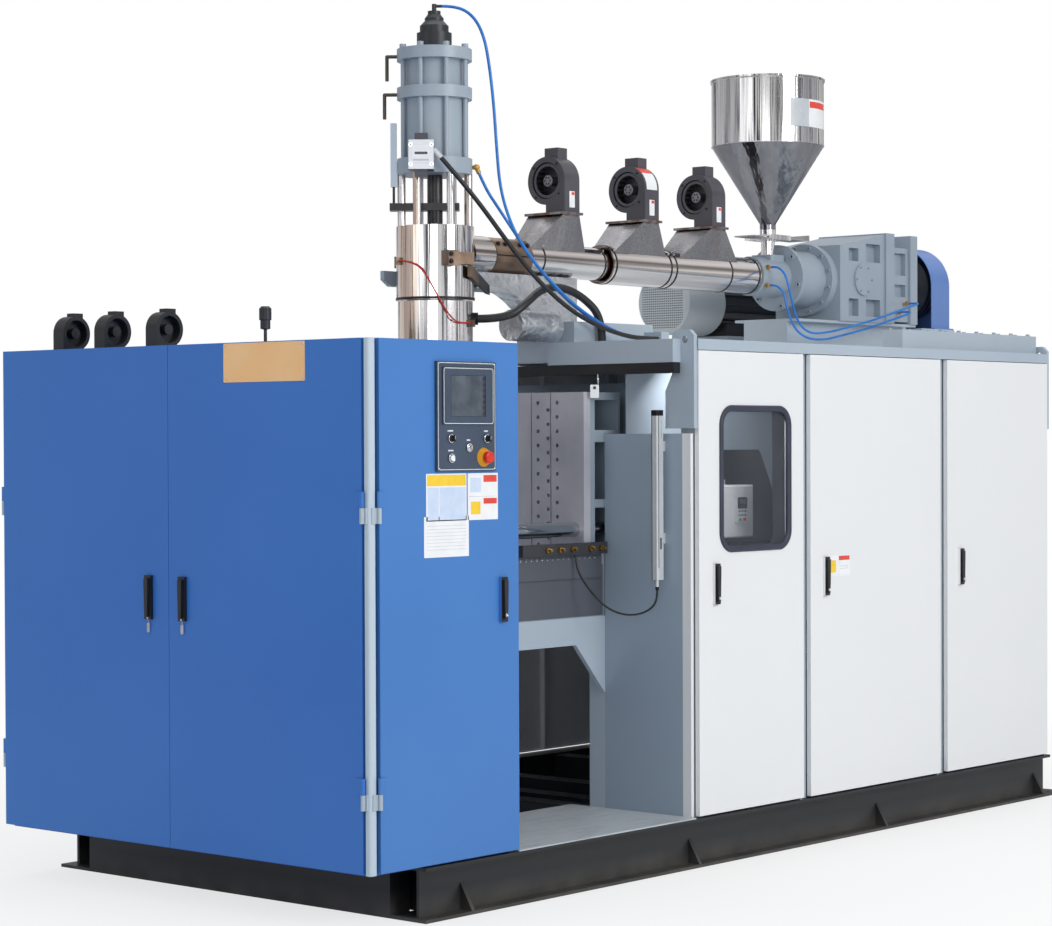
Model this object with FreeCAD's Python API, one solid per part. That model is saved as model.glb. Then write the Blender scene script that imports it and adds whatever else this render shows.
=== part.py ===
import FreeCAD, Part
import math
import os

# Accumulator blow moulding machine: a clamp between two cabinets, an extruder on the roof deck
# that feeds an accumulator head, and a skid base. Millimetres. X runs from the blue end doors to
# the drive, Y from the operator's side to the rear, Z up from the floor. The origin is the middle
# of the skid's underside.

os.makedirs("parts", exist_ok=True)
V = FreeCAD.Vector
X = V(1, 0, 0)
Y = V(0, 1, 0)
Z = V(0, 0, 1)

# ---- driving sizes -------------------------------------------------------------------------
end_x = -2400.0            # outer face of the blue end doors
right_x = 2112.0           # outer face of the right end panel
half_width = 967.0         # middle of the machine to a door's face
base_height = 190.0
floor_sheet = 5.0
door_top = 1995.0
door_depth = 20.0          # depth of a folded door or panel
door_skin = 3.0
door_gap = 3.0             # gap above and below a door
seat = 0.3                 # air between curved faces that seat on each other
running = 0.05             # radial clearance of a pin, shaft or rod in its bore

blue_end = -1641.0         # free edge of the control door
opening_end = -600.0       # right side of the operator's opening
white_doors = ((-578.0, 124.0), (174.0, 1164.0), (1220.0, 2086.0))
post_size = 60.0
post_setback = 27.0        # post faces behind the door faces
beam_top = door_top + 45.0  # top of the roof deck and its edge beams
beam_width = 60.0
deck_sheet = 10.0

head_x = -1140.0           # accumulator head and parting plane
line_y = -110.0            # middle of head, clamp and extruder
barrel_z = beam_top + 345.0  # height of the extruder's axis

door_bottom = base_height + floor_sheet + door_gap
front_y = -half_width
floor_z = base_height + floor_sheet


# ---- shape helpers -------------------------------------------------------------------------
def box(x0, x1, y0, y1, z0, z1):
    return Part.makeBox(x1 - x0, y1 - y0, z1 - z0, V(x0, y0, z0))


def rod(radius, start, end):
    span = V(*end) - V(*start)
    return Part.makeCylinder(radius, span.Length, V(*start), span)


def ring(outer, inner, start, end):
    return rod(outer, start, end).cut(rod(inner, start, end))


def prism(points, offset):
    """Straight-sided outline through 3-D points, extruded by the offset vector."""
    outline = Part.makePolygon([V(*p) for p in points] + [V(*points[0])])
    return Part.Face(outline).extrude(offset)


def turned_x(profile, y, z):
    """Profile of (x, radius) points turned about the line through y, z along X."""
    outline = Part.makePolygon([V(x, y + r, z) for x, r in profile + [profile[0]]])
    return Part.Face(outline).revolve(V(0, y, z), X, 360)


def turned_z(profile, x, y):
    """Profile of (radius, z) points turned about the upright line through x, y."""
    outline = Part.makePolygon([V(x + r, y, z) for r, z in profile + [profile[0]]])
    return Part.Face(outline).revolve(V(x, y, 0), Z, 360)


def square_tube(x0, x1, y0, y1, z0, z1, wall, along):
    """Hollow rectangular section, open at both ends of the axis it runs along."""
    cut = {
        "x": (x0, x1, y0 + wall, y1 - wall, z0 + wall, z1 - wall),
        "y": (x0 + wall, x1 - wall, y0, y1, z0 + wall, z1 - wall),
        "z": (x0 + wall, x1 - wall, y0 + wall, y1 - wall, z0, z1),
    }[along]
    return box(x0, x1, y0, y1, z0, z1).cut(box(*cut))


def mirrored(shape, plane_x=None, plane_y=None):
    if plane_x is not None:
        return shape.mirror(V(plane_x, 0, 0), X)
    return shape.mirror(V(0, plane_y, 0), Y)


def fused(shapes):
    whole = shapes[0]
    if len(shapes) > 1:
        whole = whole.multiFuse(shapes[1:])
    return whole.removeSplitter()


def save(name, shapes):
    solids = []
    for shape in shapes:
        solids += shape.Solids
    whole = solids[0] if len(solids) == 1 else Part.makeCompound(solids)
    whole.exportStep("parts/" + name + ".step")
    print(name, len(solids), "solids", all(s.isValid() for s in solids))


# ---- skid base -----------------------------------------------------------------------------
web_setback = 60.0         # skid web behind the door faces
base_x0 = -2130.0
base_x1 = 2230.0
web_thickness = 12.0
flange_thickness = 12.0
flange_width = 110.0
cross_width = 100.0
cross_xs = (-2080.0, -1910.0, -1270.0, -570.0, -370.0, 0.0, 700.0, 1400.0, 2100.0)
anchor_hole_r = 11.0
anchor_inset_x = 90.0
anchor_inset_y = 28.0
gusset_width = 16.0
gusset_rise = 95.0
gusset_inset_left = 240.0
gusset_inset_right = 175.0
gusset_count = 4


def base_beam():
    """Front skid beam: an I section with four gussets standing on its lower flange."""
    web_y = front_y + web_setback
    lower = box(base_x0, base_x1, front_y, front_y + flange_width + web_setback,
                0, flange_thickness)
    upper = box(base_x0, right_x, front_y, front_y + flange_width,
                base_height - flange_thickness, base_height)
    web = box(base_x0 + 30, base_x1 - 80, web_y, web_y + web_thickness,
              flange_thickness, base_height - flange_thickness)
    pieces = [lower, upper, web]
    first = base_x0 + gusset_inset_left
    last = base_x1 - gusset_inset_right
    for i in range(gusset_count):
        x = first + (last - first) * i / (gusset_count - 1)
        corner = (x, web_y, flange_thickness)
        toe = (x, front_y + 4, flange_thickness)
        peak = (x, web_y, flange_thickness + gusset_rise)
        pieces.append(prism([corner, toe, peak], X * gusset_width))
    beam = fused(pieces)
    for x in (base_x0 + anchor_inset_x, base_x1 - anchor_inset_x):
        y = front_y + anchor_inset_y
        beam = beam.cut(rod(anchor_hole_r, (x, y, 0), (x, y, flange_thickness)))
    return beam


def base_frame():
    """Two skid beams joined by cross members, one under each row of clamp columns."""
    beams = [base_beam(), mirrored(base_beam(), plane_y=0)]
    flange_edge = half_width - flange_width - web_setback
    for x in cross_xs:
        beams.append(box(x - cross_width / 2, x + cross_width / 2, -flange_edge, flange_edge,
                         0, base_height))
    save("base_frame", beams)


base_frame()

# ---- cabinet frame: pillars, posts, beams, hinge leaves, lifting lugs, clamp bed ------------
pillar_x = 35.0
pillar_y = 28.0
pillar_round = 10.0
pillar_inset = 2.0
hinge_r = 8.0
hinge_pin_r = 4.0
hinge_height = 108.0
hinge_levels = (414.0, 1373.0)
leaf = 5.0
leaf_width = 34.0
pin_inset = 12.0           # white door pivot behind its hinge edge
pin_r = 5.0
pin_reach = 25.0
pin_block = 35.0
lug_thickness = 20.0
lug_hole_r = 14.0
lug_top = beam_top + 35.0
lug_hole_drop = 38.0
lug_bottom = 1695.0
lug_width = 106.0
bed_top = 957.0
bed_depth = 107.0
bed_width = 80.0
platen_half = 400.0        # platen half width about the machine line
column_xs = (-1940.0, -1300.0, -600.0, -400.0)

corner_x = end_x + pillar_inset
corner_y = front_y + pillar_inset
door_knuckle_x = corner_x + pillar_x + 5
door_knuckle_y = front_y - hinge_r + 1
end_knuckle_x = end_x - hinge_r + 1
end_knuckle_y = corner_y + pillar_y - 3
end_door_near = corner_y + pillar_y + 5
rear_knuckle_x = end_x + door_depth / 2
rear_knuckle_y = half_width + hinge_r
rear_post_x = end_x + door_depth + hinge_r
bed_front = line_y - platen_half - 7
post_xs = (white_doors[0][0] + 2, white_doors[0][1] - 5, white_doors[1][1] - 2,
           right_x - post_size - door_depth)


def lower_knuckle(x, y, level):
    """Fixed half of a lift-off hinge: a knuckle with its pin standing out of the top."""
    half = hinge_height / 2
    barrel = rod(hinge_r, (x, y, level), (x, y, level + half - 1))
    pin = rod(hinge_pin_r, (x, y, level), (x, y, level + hinge_height - 12))
    return barrel.fuse(pin)


def upper_knuckle(x, y, level):
    """Door half of the hinge, bored from below for the pin."""
    half = hinge_height / 2
    barrel = rod(hinge_r, (x, y, level + half), (x, y, level + hinge_height))
    bore = rod(hinge_pin_r + running, (x, y, level + half), (x, y, level + hinge_height - 10))
    return barrel, bore


def corner_pillar():
    """Rounded front corner pillar that carries the end door and the control door."""
    column = box(corner_x, corner_x + pillar_x, corner_y, corner_y + pillar_y, floor_z, door_top)
    upright = [e for e in column.Edges if abs(e.Length - (door_top - floor_z)) < 1]
    column = column.makeFillet(pillar_round, upright)
    pieces = [column]
    half = hinge_height / 2 - 1
    for level in hinge_levels:
        pieces.append(lower_knuckle(door_knuckle_x, door_knuckle_y, level))
        pieces.append(box(corner_x + pillar_round, door_knuckle_x, corner_y - leaf,
                          corner_y + 1, level, level + half))
        pieces.append(lower_knuckle(end_knuckle_x, end_knuckle_y, level))
        pieces.append(box(corner_x - leaf, corner_x + 1, corner_y + pillar_round,
                          end_knuckle_y, level, level + half))
    return fused(pieces)


def rear_pillar():
    """Rear left pillar with the fixed hinge halves of the rear end door."""
    face = half_width - pillar_inset
    pieces = [box(rear_post_x, rear_post_x + 40, face - 40, face, floor_z, door_top - 8)]
    for level in hinge_levels:
        pieces.append(lower_knuckle(rear_knuckle_x, rear_knuckle_y, level))
        pieces.append(box(rear_knuckle_x, rear_post_x + 35, face - 1, face + leaf, level,
                          level + hinge_height / 2 - 1))
    return fused(pieces)


def lifting_lug(x):
    """Lug plate across X with rounded ears, a shackle hole and a wider foot."""
    y0 = front_y + 6
    y1 = y0 + lug_width
    ear = 22.0
    outline = [
        (x, y0, lug_bottom), (x, y1 + 33, lug_bottom), (x, y1 + 33, lug_bottom + 145),
        (x, y1, lug_bottom + 210), (x, y1, lug_top - ear), (x, y1 - ear, lug_top),
        (x, y0 + ear, lug_top), (x, y0, lug_top - ear),
    ]
    hole_y = y0 + 44
    hole_z = lug_top - lug_hole_drop
    plate = prism(outline, X * lug_thickness)
    return plate.cut(rod(lug_hole_r, (x - 1, hole_y, hole_z), (x + lug_thickness + 1, hole_y, hole_z)))


def bed_beam():
    """Front beam under the clamp with its sloping gusset at the opening's right side."""
    y0 = bed_front
    y1 = bed_front + bed_width
    low = bed_top - bed_depth
    beam = square_tube(column_xs[0], column_xs[-1] + post_size, y0, y1, low, bed_top, 6, "x")
    run = 180.0
    drop = 200.0
    right = column_xs[2]
    gusset = prism([(right, y0, low), (right - run, y0, low), (right, y0, low - drop)], Y * 20)
    return [beam, gusset]


def cabinet_frame():
    pieces = [corner_pillar(), rear_pillar()]
    post_y = front_y + post_setback
    jamb = square_tube(blue_end - 49, blue_end - 13, post_y, post_y + 40, floor_z, door_top - 8, 3, "z")
    pieces += [jamb, mirrored(jamb, plane_y=0)]
    for x in post_xs:
        post = square_tube(x, x + post_size, post_y, post_y + post_size, base_height,
                           door_top + door_gap, 4, "z")
        pieces += [post, mirrored(post, plane_y=0)]
    beam_x0 = opening_end + lug_thickness
    edge_beam = square_tube(beam_x0, right_x - lug_thickness, front_y, front_y + beam_width,
                            door_top + door_gap, beam_top, 4, "x")
    pieces += [edge_beam, mirrored(edge_beam, plane_y=0)]
    cross_front = box(opening_end - 50, opening_end, front_y + 70, line_y - 157, beam_top - 90, beam_top)
    cross_rear = box(opening_end - 40, opening_end, line_y - 157, half_width - 70, beam_top - 80, beam_top)
    tab = box(opening_end - 50, opening_end - 35, line_y - 187, line_y - 157, beam_top, beam_top + 70)
    pieces += [cross_front.fuse(tab).removeSplitter(), cross_rear]
    for x in (opening_end, right_x - lug_thickness):
        lug = lifting_lug(x)
        pieces += [lug, mirrored(lug, plane_y=0)]
    for piece in bed_beam():
        pieces += [piece, mirrored(piece, plane_y=line_y)]
    for x in column_xs:
        in_cabinet = x < blue_end
        on_tread = blue_end < x < opening_end
        front_foot = floor_z if in_cabinet or on_tread else base_height
        rear_foot = floor_z if in_cabinet else base_height
        top = bed_top - bed_depth
        pieces.append(square_tube(x, x + post_size, bed_front, bed_front + bed_width, front_foot, top, 4, "z"))
        rear_y = 2 * line_y - bed_front
        pieces.append(square_tube(x, x + post_size, rear_y - bed_width, rear_y, rear_foot, top, 4, "z"))
    for x0, x1 in white_doors:
        px = x1 - pin_inset
        py = front_y + door_depth / 2
        pieces.append(rod(pin_r, (px, py, base_height), (px, py, door_bottom + pin_reach)))
        pieces.append(rod(pin_r, (px, py, door_top - pin_reach), (px, py, door_top + door_gap)))
    save("cabinet_frame", pieces)


cabinet_frame()

# ---- floors, roof, deck and fixed sheet panels ------------------------------------------------
tread_depth = 625.0
side_sheet = 3.0
side_panel_top = 1675.0
side_return = 17.0
roof_sheet = 5.0
roof_top = door_top - 3.0
rear_panels = ((rear_post_x + 42, blue_end + 4), (blue_end + 4, opening_end - 1),
               (opening_end + lug_thickness + 1, 747.0), (749.0, right_x - door_depth - 1))
end_split_z = lug_bottom - 5


def save_tread():
    plate = box(blue_end, opening_end, front_y, front_y + tread_depth, base_height, floor_z)
    save("tread_plate", [plate])


def rear_panel(x0, x1):
    """Folded sheet tray between the rear posts and the rear face, its open side inwards."""
    tray = box(x0, x1, half_width - post_setback, half_width, door_bottom, door_top)
    hollow = box(x0 + door_skin, x1 - door_skin, half_width - post_setback - 1, half_width - door_skin,
                 door_bottom + door_skin, door_top - door_skin)
    return tray.cut(hollow)


def end_panel(half, z0, z1):
    """Folded tray on the right end, its open side inwards."""
    x0 = right_x - door_depth
    tray = box(x0, right_x, -half, half, z0, z1)
    return tray.cut(box(x0 - 1, right_x - door_skin, -half + door_skin, half - door_skin,
                        z0 + door_skin, z1 - door_skin))


def side_panel(x, facing, foot):
    """Upright sheet beside the opening with a folded return along its front edge."""
    y0 = front_y + post_setback
    xb = x - facing * side_return
    xs = x - facing * side_sheet
    outline = [
        (x, y0 - side_sheet, foot), (xb, y0 - side_sheet, foot), (xb, y0, foot),
        (xs, y0, foot), (xs, bed_front - 1, foot), (x, bed_front - 1, foot),
    ]
    return prism(outline, Z * (side_panel_top - foot))


def cabinet_panels():
    roof_x0 = corner_x + pillar_x
    inner_y = half_width - post_setback
    pieces = [
        box(end_x + door_depth + 4, blue_end, -inner_y, inner_y, base_height, floor_z),
        box(roof_x0, blue_end - 9, -inner_y, inner_y, roof_top - roof_sheet, roof_top),
        box(opening_end + lug_thickness, right_x - door_depth, -half_width + beam_width,
            half_width - beam_width, beam_top - deck_sheet, beam_top),
        side_panel(opening_end, -1, base_height),
        side_panel(blue_end - 9, 1, floor_z),
        end_panel(half_width - door_depth, door_bottom, end_split_z),
        end_panel(half_width - 6 - lug_width - 40, end_split_z, beam_top),
    ]
    pieces += [rear_panel(x0, x1) for x0, x1 in rear_panels]
    save("cabinet_panels", pieces)


save_tread()
cabinet_panels()

# ---- doors -------------------------------------------------------------------------------------
handle_height = 158.0
handle_width = 35.0
handle_bottom = 1012.0
handle_inset = 88.0
handle_depth = 12.0
lever_width = 20.0
lever_depth = 9.0
lever_pivot_drop = 16.0
lever_pin_r = 4.0
lever_pin_reach = 8.0
lever_air = 0.3            # air between the lever and its escutcheon
window_x = (-435.0, 21.0)
window_z = (1222.0, 1774.0)
window_round = 40.0
glass_thickness = 5.0


def front_pan(x0, x1):
    tray = box(x0, x1, front_y, front_y + door_depth, door_bottom, door_top)
    hollow = box(x0 + door_skin, x1 - door_skin, front_y + door_skin, front_y + door_depth + 1,
                 door_bottom + door_skin, door_top - door_skin)
    return tray.cut(hollow)


def end_pan(y0, y1):
    tray = box(end_x, end_x + door_depth, y0, y1, door_bottom, door_top)
    hollow = box(end_x + door_skin, end_x + door_depth + 1, y0 + door_skin, y1 - door_skin,
                 door_bottom + door_skin, door_top - door_skin)
    return tray.cut(hollow)


def rounded_slab(x0, x1, z0, z1, y0, y1, radius):
    slab = box(x0, x1, y0, y1, z0, z1)
    corners = [e for e in slab.Edges if abs(e.Length - (y1 - y0)) < 0.001
               and abs(e.tangentAt(e.FirstParameter).y) > 0.9]
    return slab.makeFillet(radius, corners)


def white_door(x0, x1, window=False):
    """Folded door with pivot blocks in its hinge corners, and a glazed window in the first."""
    px = x1 - pin_inset
    py = front_y + door_depth / 2
    pieces = [front_pan(x0, x1)]
    for z0 in (door_bottom, door_top - pin_block):
        pieces.append(box(x1 - 2 * pin_inset, x1, front_y, front_y + door_depth, z0, z0 + pin_block))
    if window:
        frame = box(window_x[0] - 30, window_x[1] + 30, front_y, front_y + door_depth,
                    window_z[0] - 30, window_z[1] + 30)
        pieces.append(frame)
    door = fused(pieces)
    bore_r = pin_r + running
    door = door.cut(rod(bore_r, (px, py, door_bottom), (px, py, door_bottom + pin_reach + 2)))
    door = door.cut(rod(bore_r, (px, py, door_top - pin_reach - 2), (px, py, door_top)))
    if window:
        hole = rounded_slab(window_x[0], window_x[1], window_z[0], window_z[1],
                            front_y - 1, front_y + door_depth + 1, window_round)
        door = door.cut(hole)
    return door


def hinged_front_door():
    """Control door with the upper hinge knuckles on its left edge."""
    x0 = corner_x + pillar_x + 13
    pieces = [front_pan(x0, blue_end)]
    bores = []
    half = hinge_height / 2
    for level in hinge_levels:
        barrel, bore = upper_knuckle(door_knuckle_x, door_knuckle_y, level)
        plate = box(door_knuckle_x, door_knuckle_x + leaf_width, front_y - leaf, front_y + 1,
                    level + half, level + hinge_height)
        pieces += [barrel, plate]
        bores.append(bore)
    door = fused(pieces)
    for bore in bores:
        door = door.cut(bore)
    return door


def hinged_end_door(y0, y1, knuckle_x, knuckle_y, plate_y):
    pieces = [end_pan(y0, y1)]
    bores = []
    half = hinge_height / 2
    for level in hinge_levels:
        barrel, bore = upper_knuckle(knuckle_x, knuckle_y, level)
        plate = box(plate_y[0], plate_y[1], plate_y[2], plate_y[3], level + half, level + hinge_height)
        pieces += [barrel, plate]
        bores.append(bore)
    door = fused(pieces)
    for bore in bores:
        door = door.cut(bore)
    return door


lever_pivot_z = handle_bottom + handle_height - 8 - lever_pivot_drop


def lever_front(x):
    """Swing handle: a tapered lever with its pivot pin, hung at the top of the escutcheon."""
    pivot_z = lever_pivot_z
    y_face = front_y - handle_depth - lever_air
    side = [
        (x - lever_width / 2, y_face, pivot_z + 14), (x + lever_width / 2, y_face, pivot_z + 14),
        (x + lever_width / 2, y_face, pivot_z - 14), (x + lever_width / 2 - 3, y_face, handle_bottom + 10),
        (x - lever_width / 2 + 3, y_face, handle_bottom + 10), (x - lever_width / 2, y_face, pivot_z - 14),
    ]
    pin = rod(lever_pin_r, (x, y_face, pivot_z), (x, y_face + lever_air + lever_pin_reach, pivot_z))
    return prism(side, Y * -lever_depth).fuse(pin)


def escutcheon_front(x):
    """Handle plate on a front door, bored for the lever's pin."""
    face = front_y - handle_depth
    plate = box(x - handle_width / 2, x + handle_width / 2, face, front_y + 1,
                handle_bottom, handle_bottom + handle_height)
    bore_end = face + lever_pin_reach + 1
    return plate.cut(rod(lever_pin_r + running, (x, face - 1, lever_pivot_z), (x, bore_end, lever_pivot_z)))


def lever_end(y):
    """The same swing handle on an end door."""
    pivot_z = lever_pivot_z
    x_face = end_x - handle_depth - lever_air
    side = [
        (x_face, y - lever_width / 2, pivot_z + 14), (x_face, y + lever_width / 2, pivot_z + 14),
        (x_face, y + lever_width / 2, pivot_z - 14), (x_face, y + lever_width / 2 - 3, handle_bottom + 10),
        (x_face, y - lever_width / 2 + 3, handle_bottom + 10), (x_face, y - lever_width / 2, pivot_z - 14),
    ]
    pin = rod(lever_pin_r, (x_face, y, pivot_z), (x_face + lever_air + lever_pin_reach, y, pivot_z))
    return prism(side, X * -lever_depth).fuse(pin)


def escutcheon_end(y):
    """Handle plate on an end door, bored for the lever's pin."""
    face = end_x - handle_depth
    plate = box(face, end_x + 1, y - handle_width / 2, y + handle_width / 2,
                handle_bottom, handle_bottom + handle_height)
    bore_end = face + lever_pin_reach + 1
    return plate.cut(rod(lever_pin_r + running, (face - 1, y, lever_pivot_z), (bore_end, y, lever_pivot_z)))


end_split = 30.0           # meeting line of the two end doors
end_door_far = half_width - 5
white_handles = [x0 + 105 for x0, x1 in white_doors]
control_handle_x = blue_end - handle_inset
end_handle_ys = (end_split - handle_inset + 10, end_split + handle_inset + 14)


def save_doors():
    for i, (x0, x1) in enumerate(white_doors):
        body = fused([white_door(x0, x1, window=(i == 0)), escutcheon_front(white_handles[i])])
        save("white_door_%d" % (i + 1), [body])
        save("white_handle_%d" % (i + 1), [lever_front(white_handles[i])])
    body = fused([hinged_front_door(), escutcheon_front(control_handle_x)])
    save("control_door", [body])
    save("control_handle", [lever_front(control_handle_x)])
    near_plate = (end_x - leaf, end_x + 1, end_knuckle_y, end_knuckle_y + leaf_width + 8)
    near = hinged_end_door(end_door_near, end_split - 1, end_knuckle_x, end_knuckle_y, near_plate)
    save("end_door_front", [fused([near, escutcheon_end(end_handle_ys[0])])])
    save("end_handle_front", [lever_end(end_handle_ys[0])])
    far_plate = (end_x + 2, end_x + door_depth - 2, end_door_far - 1, rear_knuckle_y - 1)
    far = hinged_end_door(end_split + 1, end_door_far, rear_knuckle_x, rear_knuckle_y, far_plate)
    save("end_door_rear", [fused([far, escutcheon_end(end_handle_ys[1])])])
    save("end_handle_rear", [lever_end(end_handle_ys[1])])
    pane = rounded_slab(window_x[0] + seat, window_x[1] - seat, window_z[0] + seat, window_z[1] - seat,
                        front_y + 7, front_y + 7 + glass_thickness, window_round)
    save("window_glass", [pane])


save_doors()

# ---- control panel on the control door ---------------------------------------------------------
panel_x = (-2076.0, -1773.0)
panel_z = (1545.0, 1923.0)
panel_depth = 12.0
bezel_x = (-2051.0, -1791.0)
bezel_z = (1706.0, 1903.0)
bezel_depth = 6.0
screen_x = (-2013.0, -1833.0)
screen_z = (1732.0, 1876.0)
selector_r = 14.0
selector_places = ((-2007.0, 1658.0), (-1823.0, 1657.0))
key_place = (-1914.0, 1626.0)
start_place = (-2005.0, 1590.0)
estop_place = (-1838.0, 1592.0)
stem_r = 6.0
stem_reach = 8.0
start_r = 10.0
start_stroke = 4.0
estop_r = 21.0
estop_stroke = 5.0
estop_collar_r = 34.0
estop_collar = 14.0

panel_face = front_y - panel_depth


def control_panel():
    """Panel plate with its screen bezel, switch collars and the bores for the switch stems."""
    pieces = [
        box(panel_x[0], panel_x[1], panel_face, front_y, panel_z[0], panel_z[1]),
        box(bezel_x[0], bezel_x[1], panel_face - bezel_depth, panel_face, bezel_z[0], bezel_z[1]),
    ]
    for x, z in selector_places + (key_place,):
        pieces.append(rod(selector_r, (x, panel_face - 3, z), (x, panel_face + 1, z)))
    x, z = start_place
    pieces.append(rod(start_r + 5, (x, panel_face - 3, z), (x, panel_face + 1, z)))
    x, z = estop_place
    collar = Part.makeCone(estop_collar_r, estop_collar_r - 8, estop_collar, V(x, panel_face, z), -Y)
    pieces.append(collar)
    panel = fused(pieces)
    panel = panel.cut(box(screen_x[0], screen_x[1], panel_face - bezel_depth - 1,
                          panel_face - bezel_depth + 3, screen_z[0], screen_z[1]))
    for x, z in selector_places:
        panel = panel.cut(rod(stem_r + running, (x, panel_face - 4, z), (x, panel_face + stem_reach, z)))
    x, z = start_place
    panel = panel.cut(rod(start_r + running, (x, panel_face - 4, z),
                          (x, panel_face + start_stroke + 3, z)))
    x, z = estop_place
    panel = panel.cut(rod(stem_r + running, (x, panel_face - estop_collar - 1, z),
                          (x, panel_face + stem_reach, z)))
    save("control_panel", [panel])


def selector(name, place):
    """Rotary selector: a short dome with a finger bar across it, on its stem."""
    x, z = place
    face = panel_face - 3 - seat
    knob = Part.makeCone(selector_r - 2, selector_r - 4, 8, V(x, face, z), -Y)
    bar = box(x - 4, x + 4, face - 18, face - 7, z - selector_r + 3, z + selector_r - 3)
    stem = rod(stem_r, (x, face, z), (x, panel_face + stem_reach - 1, z))
    save(name, [fused([knob, bar, stem])])


def start_button():
    x, z = start_place
    cap = rod(start_r, (x, panel_face - 9, z), (x, panel_face + 2, z))
    rim = [e for e in cap.Edges if e.Closed and e.CenterOfMass.y < panel_face - 8]
    save("start_button", [cap.makeFillet(1.5, rim)])


def estop_button():
    """Mushroom head over the collar, free to travel its stroke."""
    x, z = estop_place
    under = panel_face - estop_collar - estop_stroke - 1
    head = rod(estop_r, (x, under - 14, z), (x, under, z))
    rim = [e for e in head.Edges if e.Closed and e.CenterOfMass.y < under - 13]
    head = head.makeFillet(6, rim)
    stem = rod(stem_r, (x, under, z), (x, panel_face + stem_reach - estop_stroke - 1, z))
    save("estop_button", [fused([head, stem])])


control_panel()
selector("selector_left", selector_places[0])
selector("selector_right", selector_places[1])
start_button()
estop_button()

# ---- clamp: girders, end plates, tie bars, platens, cylinders -----------------------------------
daylight_half = 420.0      # parting plane to a platen's face, clamp open
plate_thickness = 40.0
box_depth = 188.0
box_wall = 14.0
platen_bottom = 1195.0
platen_top = 1840.0
girder_top = 1160.0
girder_width = 80.0
end_plate_x = 740.0        # parting plane to an end plate's inner face
end_plate_thickness = 60.0
end_plate_top = 1880.0
tie_r = 29.0
tie_offset_y = 350.0
tie_low_z = 1300.0
tie_high_z = 1745.0
clamp_stroke = 220.0       # travel of each platen
piston_length = 40.0
cylinder_cap = 20.0
gland = 5.0                # depth of the gland inside the bore
end_air = 5.0              # air between piston and gland at full stroke
manifold_x = (-1130.0, -620.0)
manifold_apron = 5.0
manifold_z = (1205.0, 1250.0)
manifold_depth = 35.0
manifold_air = 2.0         # between the manifold and the side of a passing platen
clamp_z = 1517.0
clamp_rod_r = 40.0
clamp_bore_r = 60.0
clamp_body_r = 90.0
fast_z = 1785.0
fast_rod_r = 18.0
fast_body_r = 38.0
tap_r = 8.0
tap_depth = 30.0
tap_pitch = 56.3
tap_rows = 11
tap_columns = (164.0, 216.0, 263.0)    # hole columns from the machine line
slot_columns = (130.0, 230.0)
slot_width = 6.0
slot_depth = 8.0

platen_face = head_x + daylight_half
box_back = platen_face + plate_thickness + box_depth
end_inner = head_x + end_plate_x
end_outer = end_inner + end_plate_thickness
piston_front = end_inner + gland + end_air + clamp_stroke
piston_back = piston_front + piston_length
cylinder_end = piston_back + 30 + cylinder_cap
tie_places = ((line_y - tie_offset_y, tie_low_z), (line_y + tie_offset_y, tie_low_z),
              (line_y + tie_offset_y, tie_high_z))


def mould_plate():
    """Right platen's steel face with tapped columns and grooves, and the two rods that push it."""
    plate = box(platen_face, platen_face + plate_thickness, line_y - platen_half, line_y + platen_half,
                platen_bottom, platen_top)
    cuts = []
    middle = (platen_bottom + platen_top) / 2
    for side in (-1, 1):
        for k, offset in enumerate(tap_columns):
            rows = tap_rows if k != 1 else tap_rows - 1
            for i in range(rows):
                z = middle + (i - (rows - 1) / 2) * tap_pitch
                y = line_y + side * offset
                if side < 0 or k == 0:
                    cuts.append(rod(tap_r, (platen_face - 1, y, z), (platen_face + tap_depth, y, z)))
        for offset in slot_columns:
            y = line_y + side * offset
            cuts.append(box(platen_face - 1, platen_face + slot_depth, y - slot_width / 2,
                            y + slot_width / 2, platen_bottom - 1, platen_top + 1))
    for y, z in tie_places:
        cuts.append(rod(tie_r + running, (platen_face - 1, y, z),
                        (platen_face + plate_thickness + 1, y, z)))
    plate = plate.cut(Part.makeCompound(cuts))
    push = turned_x([(box_back, 0), (box_back, clamp_rod_r), (piston_front, clamp_rod_r),
                     (piston_front, clamp_bore_r - running), (piston_back, clamp_bore_r - running),
                     (piston_back, 0)], line_y, clamp_z)
    fast = rod(fast_rod_r, (box_back, line_y, fast_z), (piston_back - 10, line_y, fast_z))
    return [plate, push, fast]


def platen_box():
    """Ribbed casting behind the face: pockets either side of a centre web, feet on the girders."""
    x0 = platen_face + plate_thickness
    body = box(x0, box_back, line_y - platen_half, line_y + platen_half, platen_bottom, platen_top)
    web = 15.0
    rows = ((platen_bottom + 20, platen_bottom + 190), (platen_bottom + 222, platen_bottom + 448),
            (platen_bottom + 496, platen_top - 30))
    cuts = []
    for z0, z1 in rows:
        for side in (-1, 1):
            near = line_y + side * web
            far = line_y + side * (platen_half + 1)
            cuts.append(box(x0 + 2 * box_wall, box_back - box_wall, min(near, far), max(near, far), z0, z1))
    for y, z in tie_places:
        cuts.append(rod(tie_r + running, (x0 - 1, y, z), (box_back + 1, y, z)))
    body = body.cut(Part.makeCompound(cuts))
    pieces = [body]
    for side in (-1, 1):
        outer = line_y + side * platen_half
        inner = line_y + side * (platen_half - 60)
        pieces.append(box(x0, box_back, min(outer, inner), max(outer, inner), girder_top + seat,
                          platen_bottom))
    return [fused(pieces)]


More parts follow.
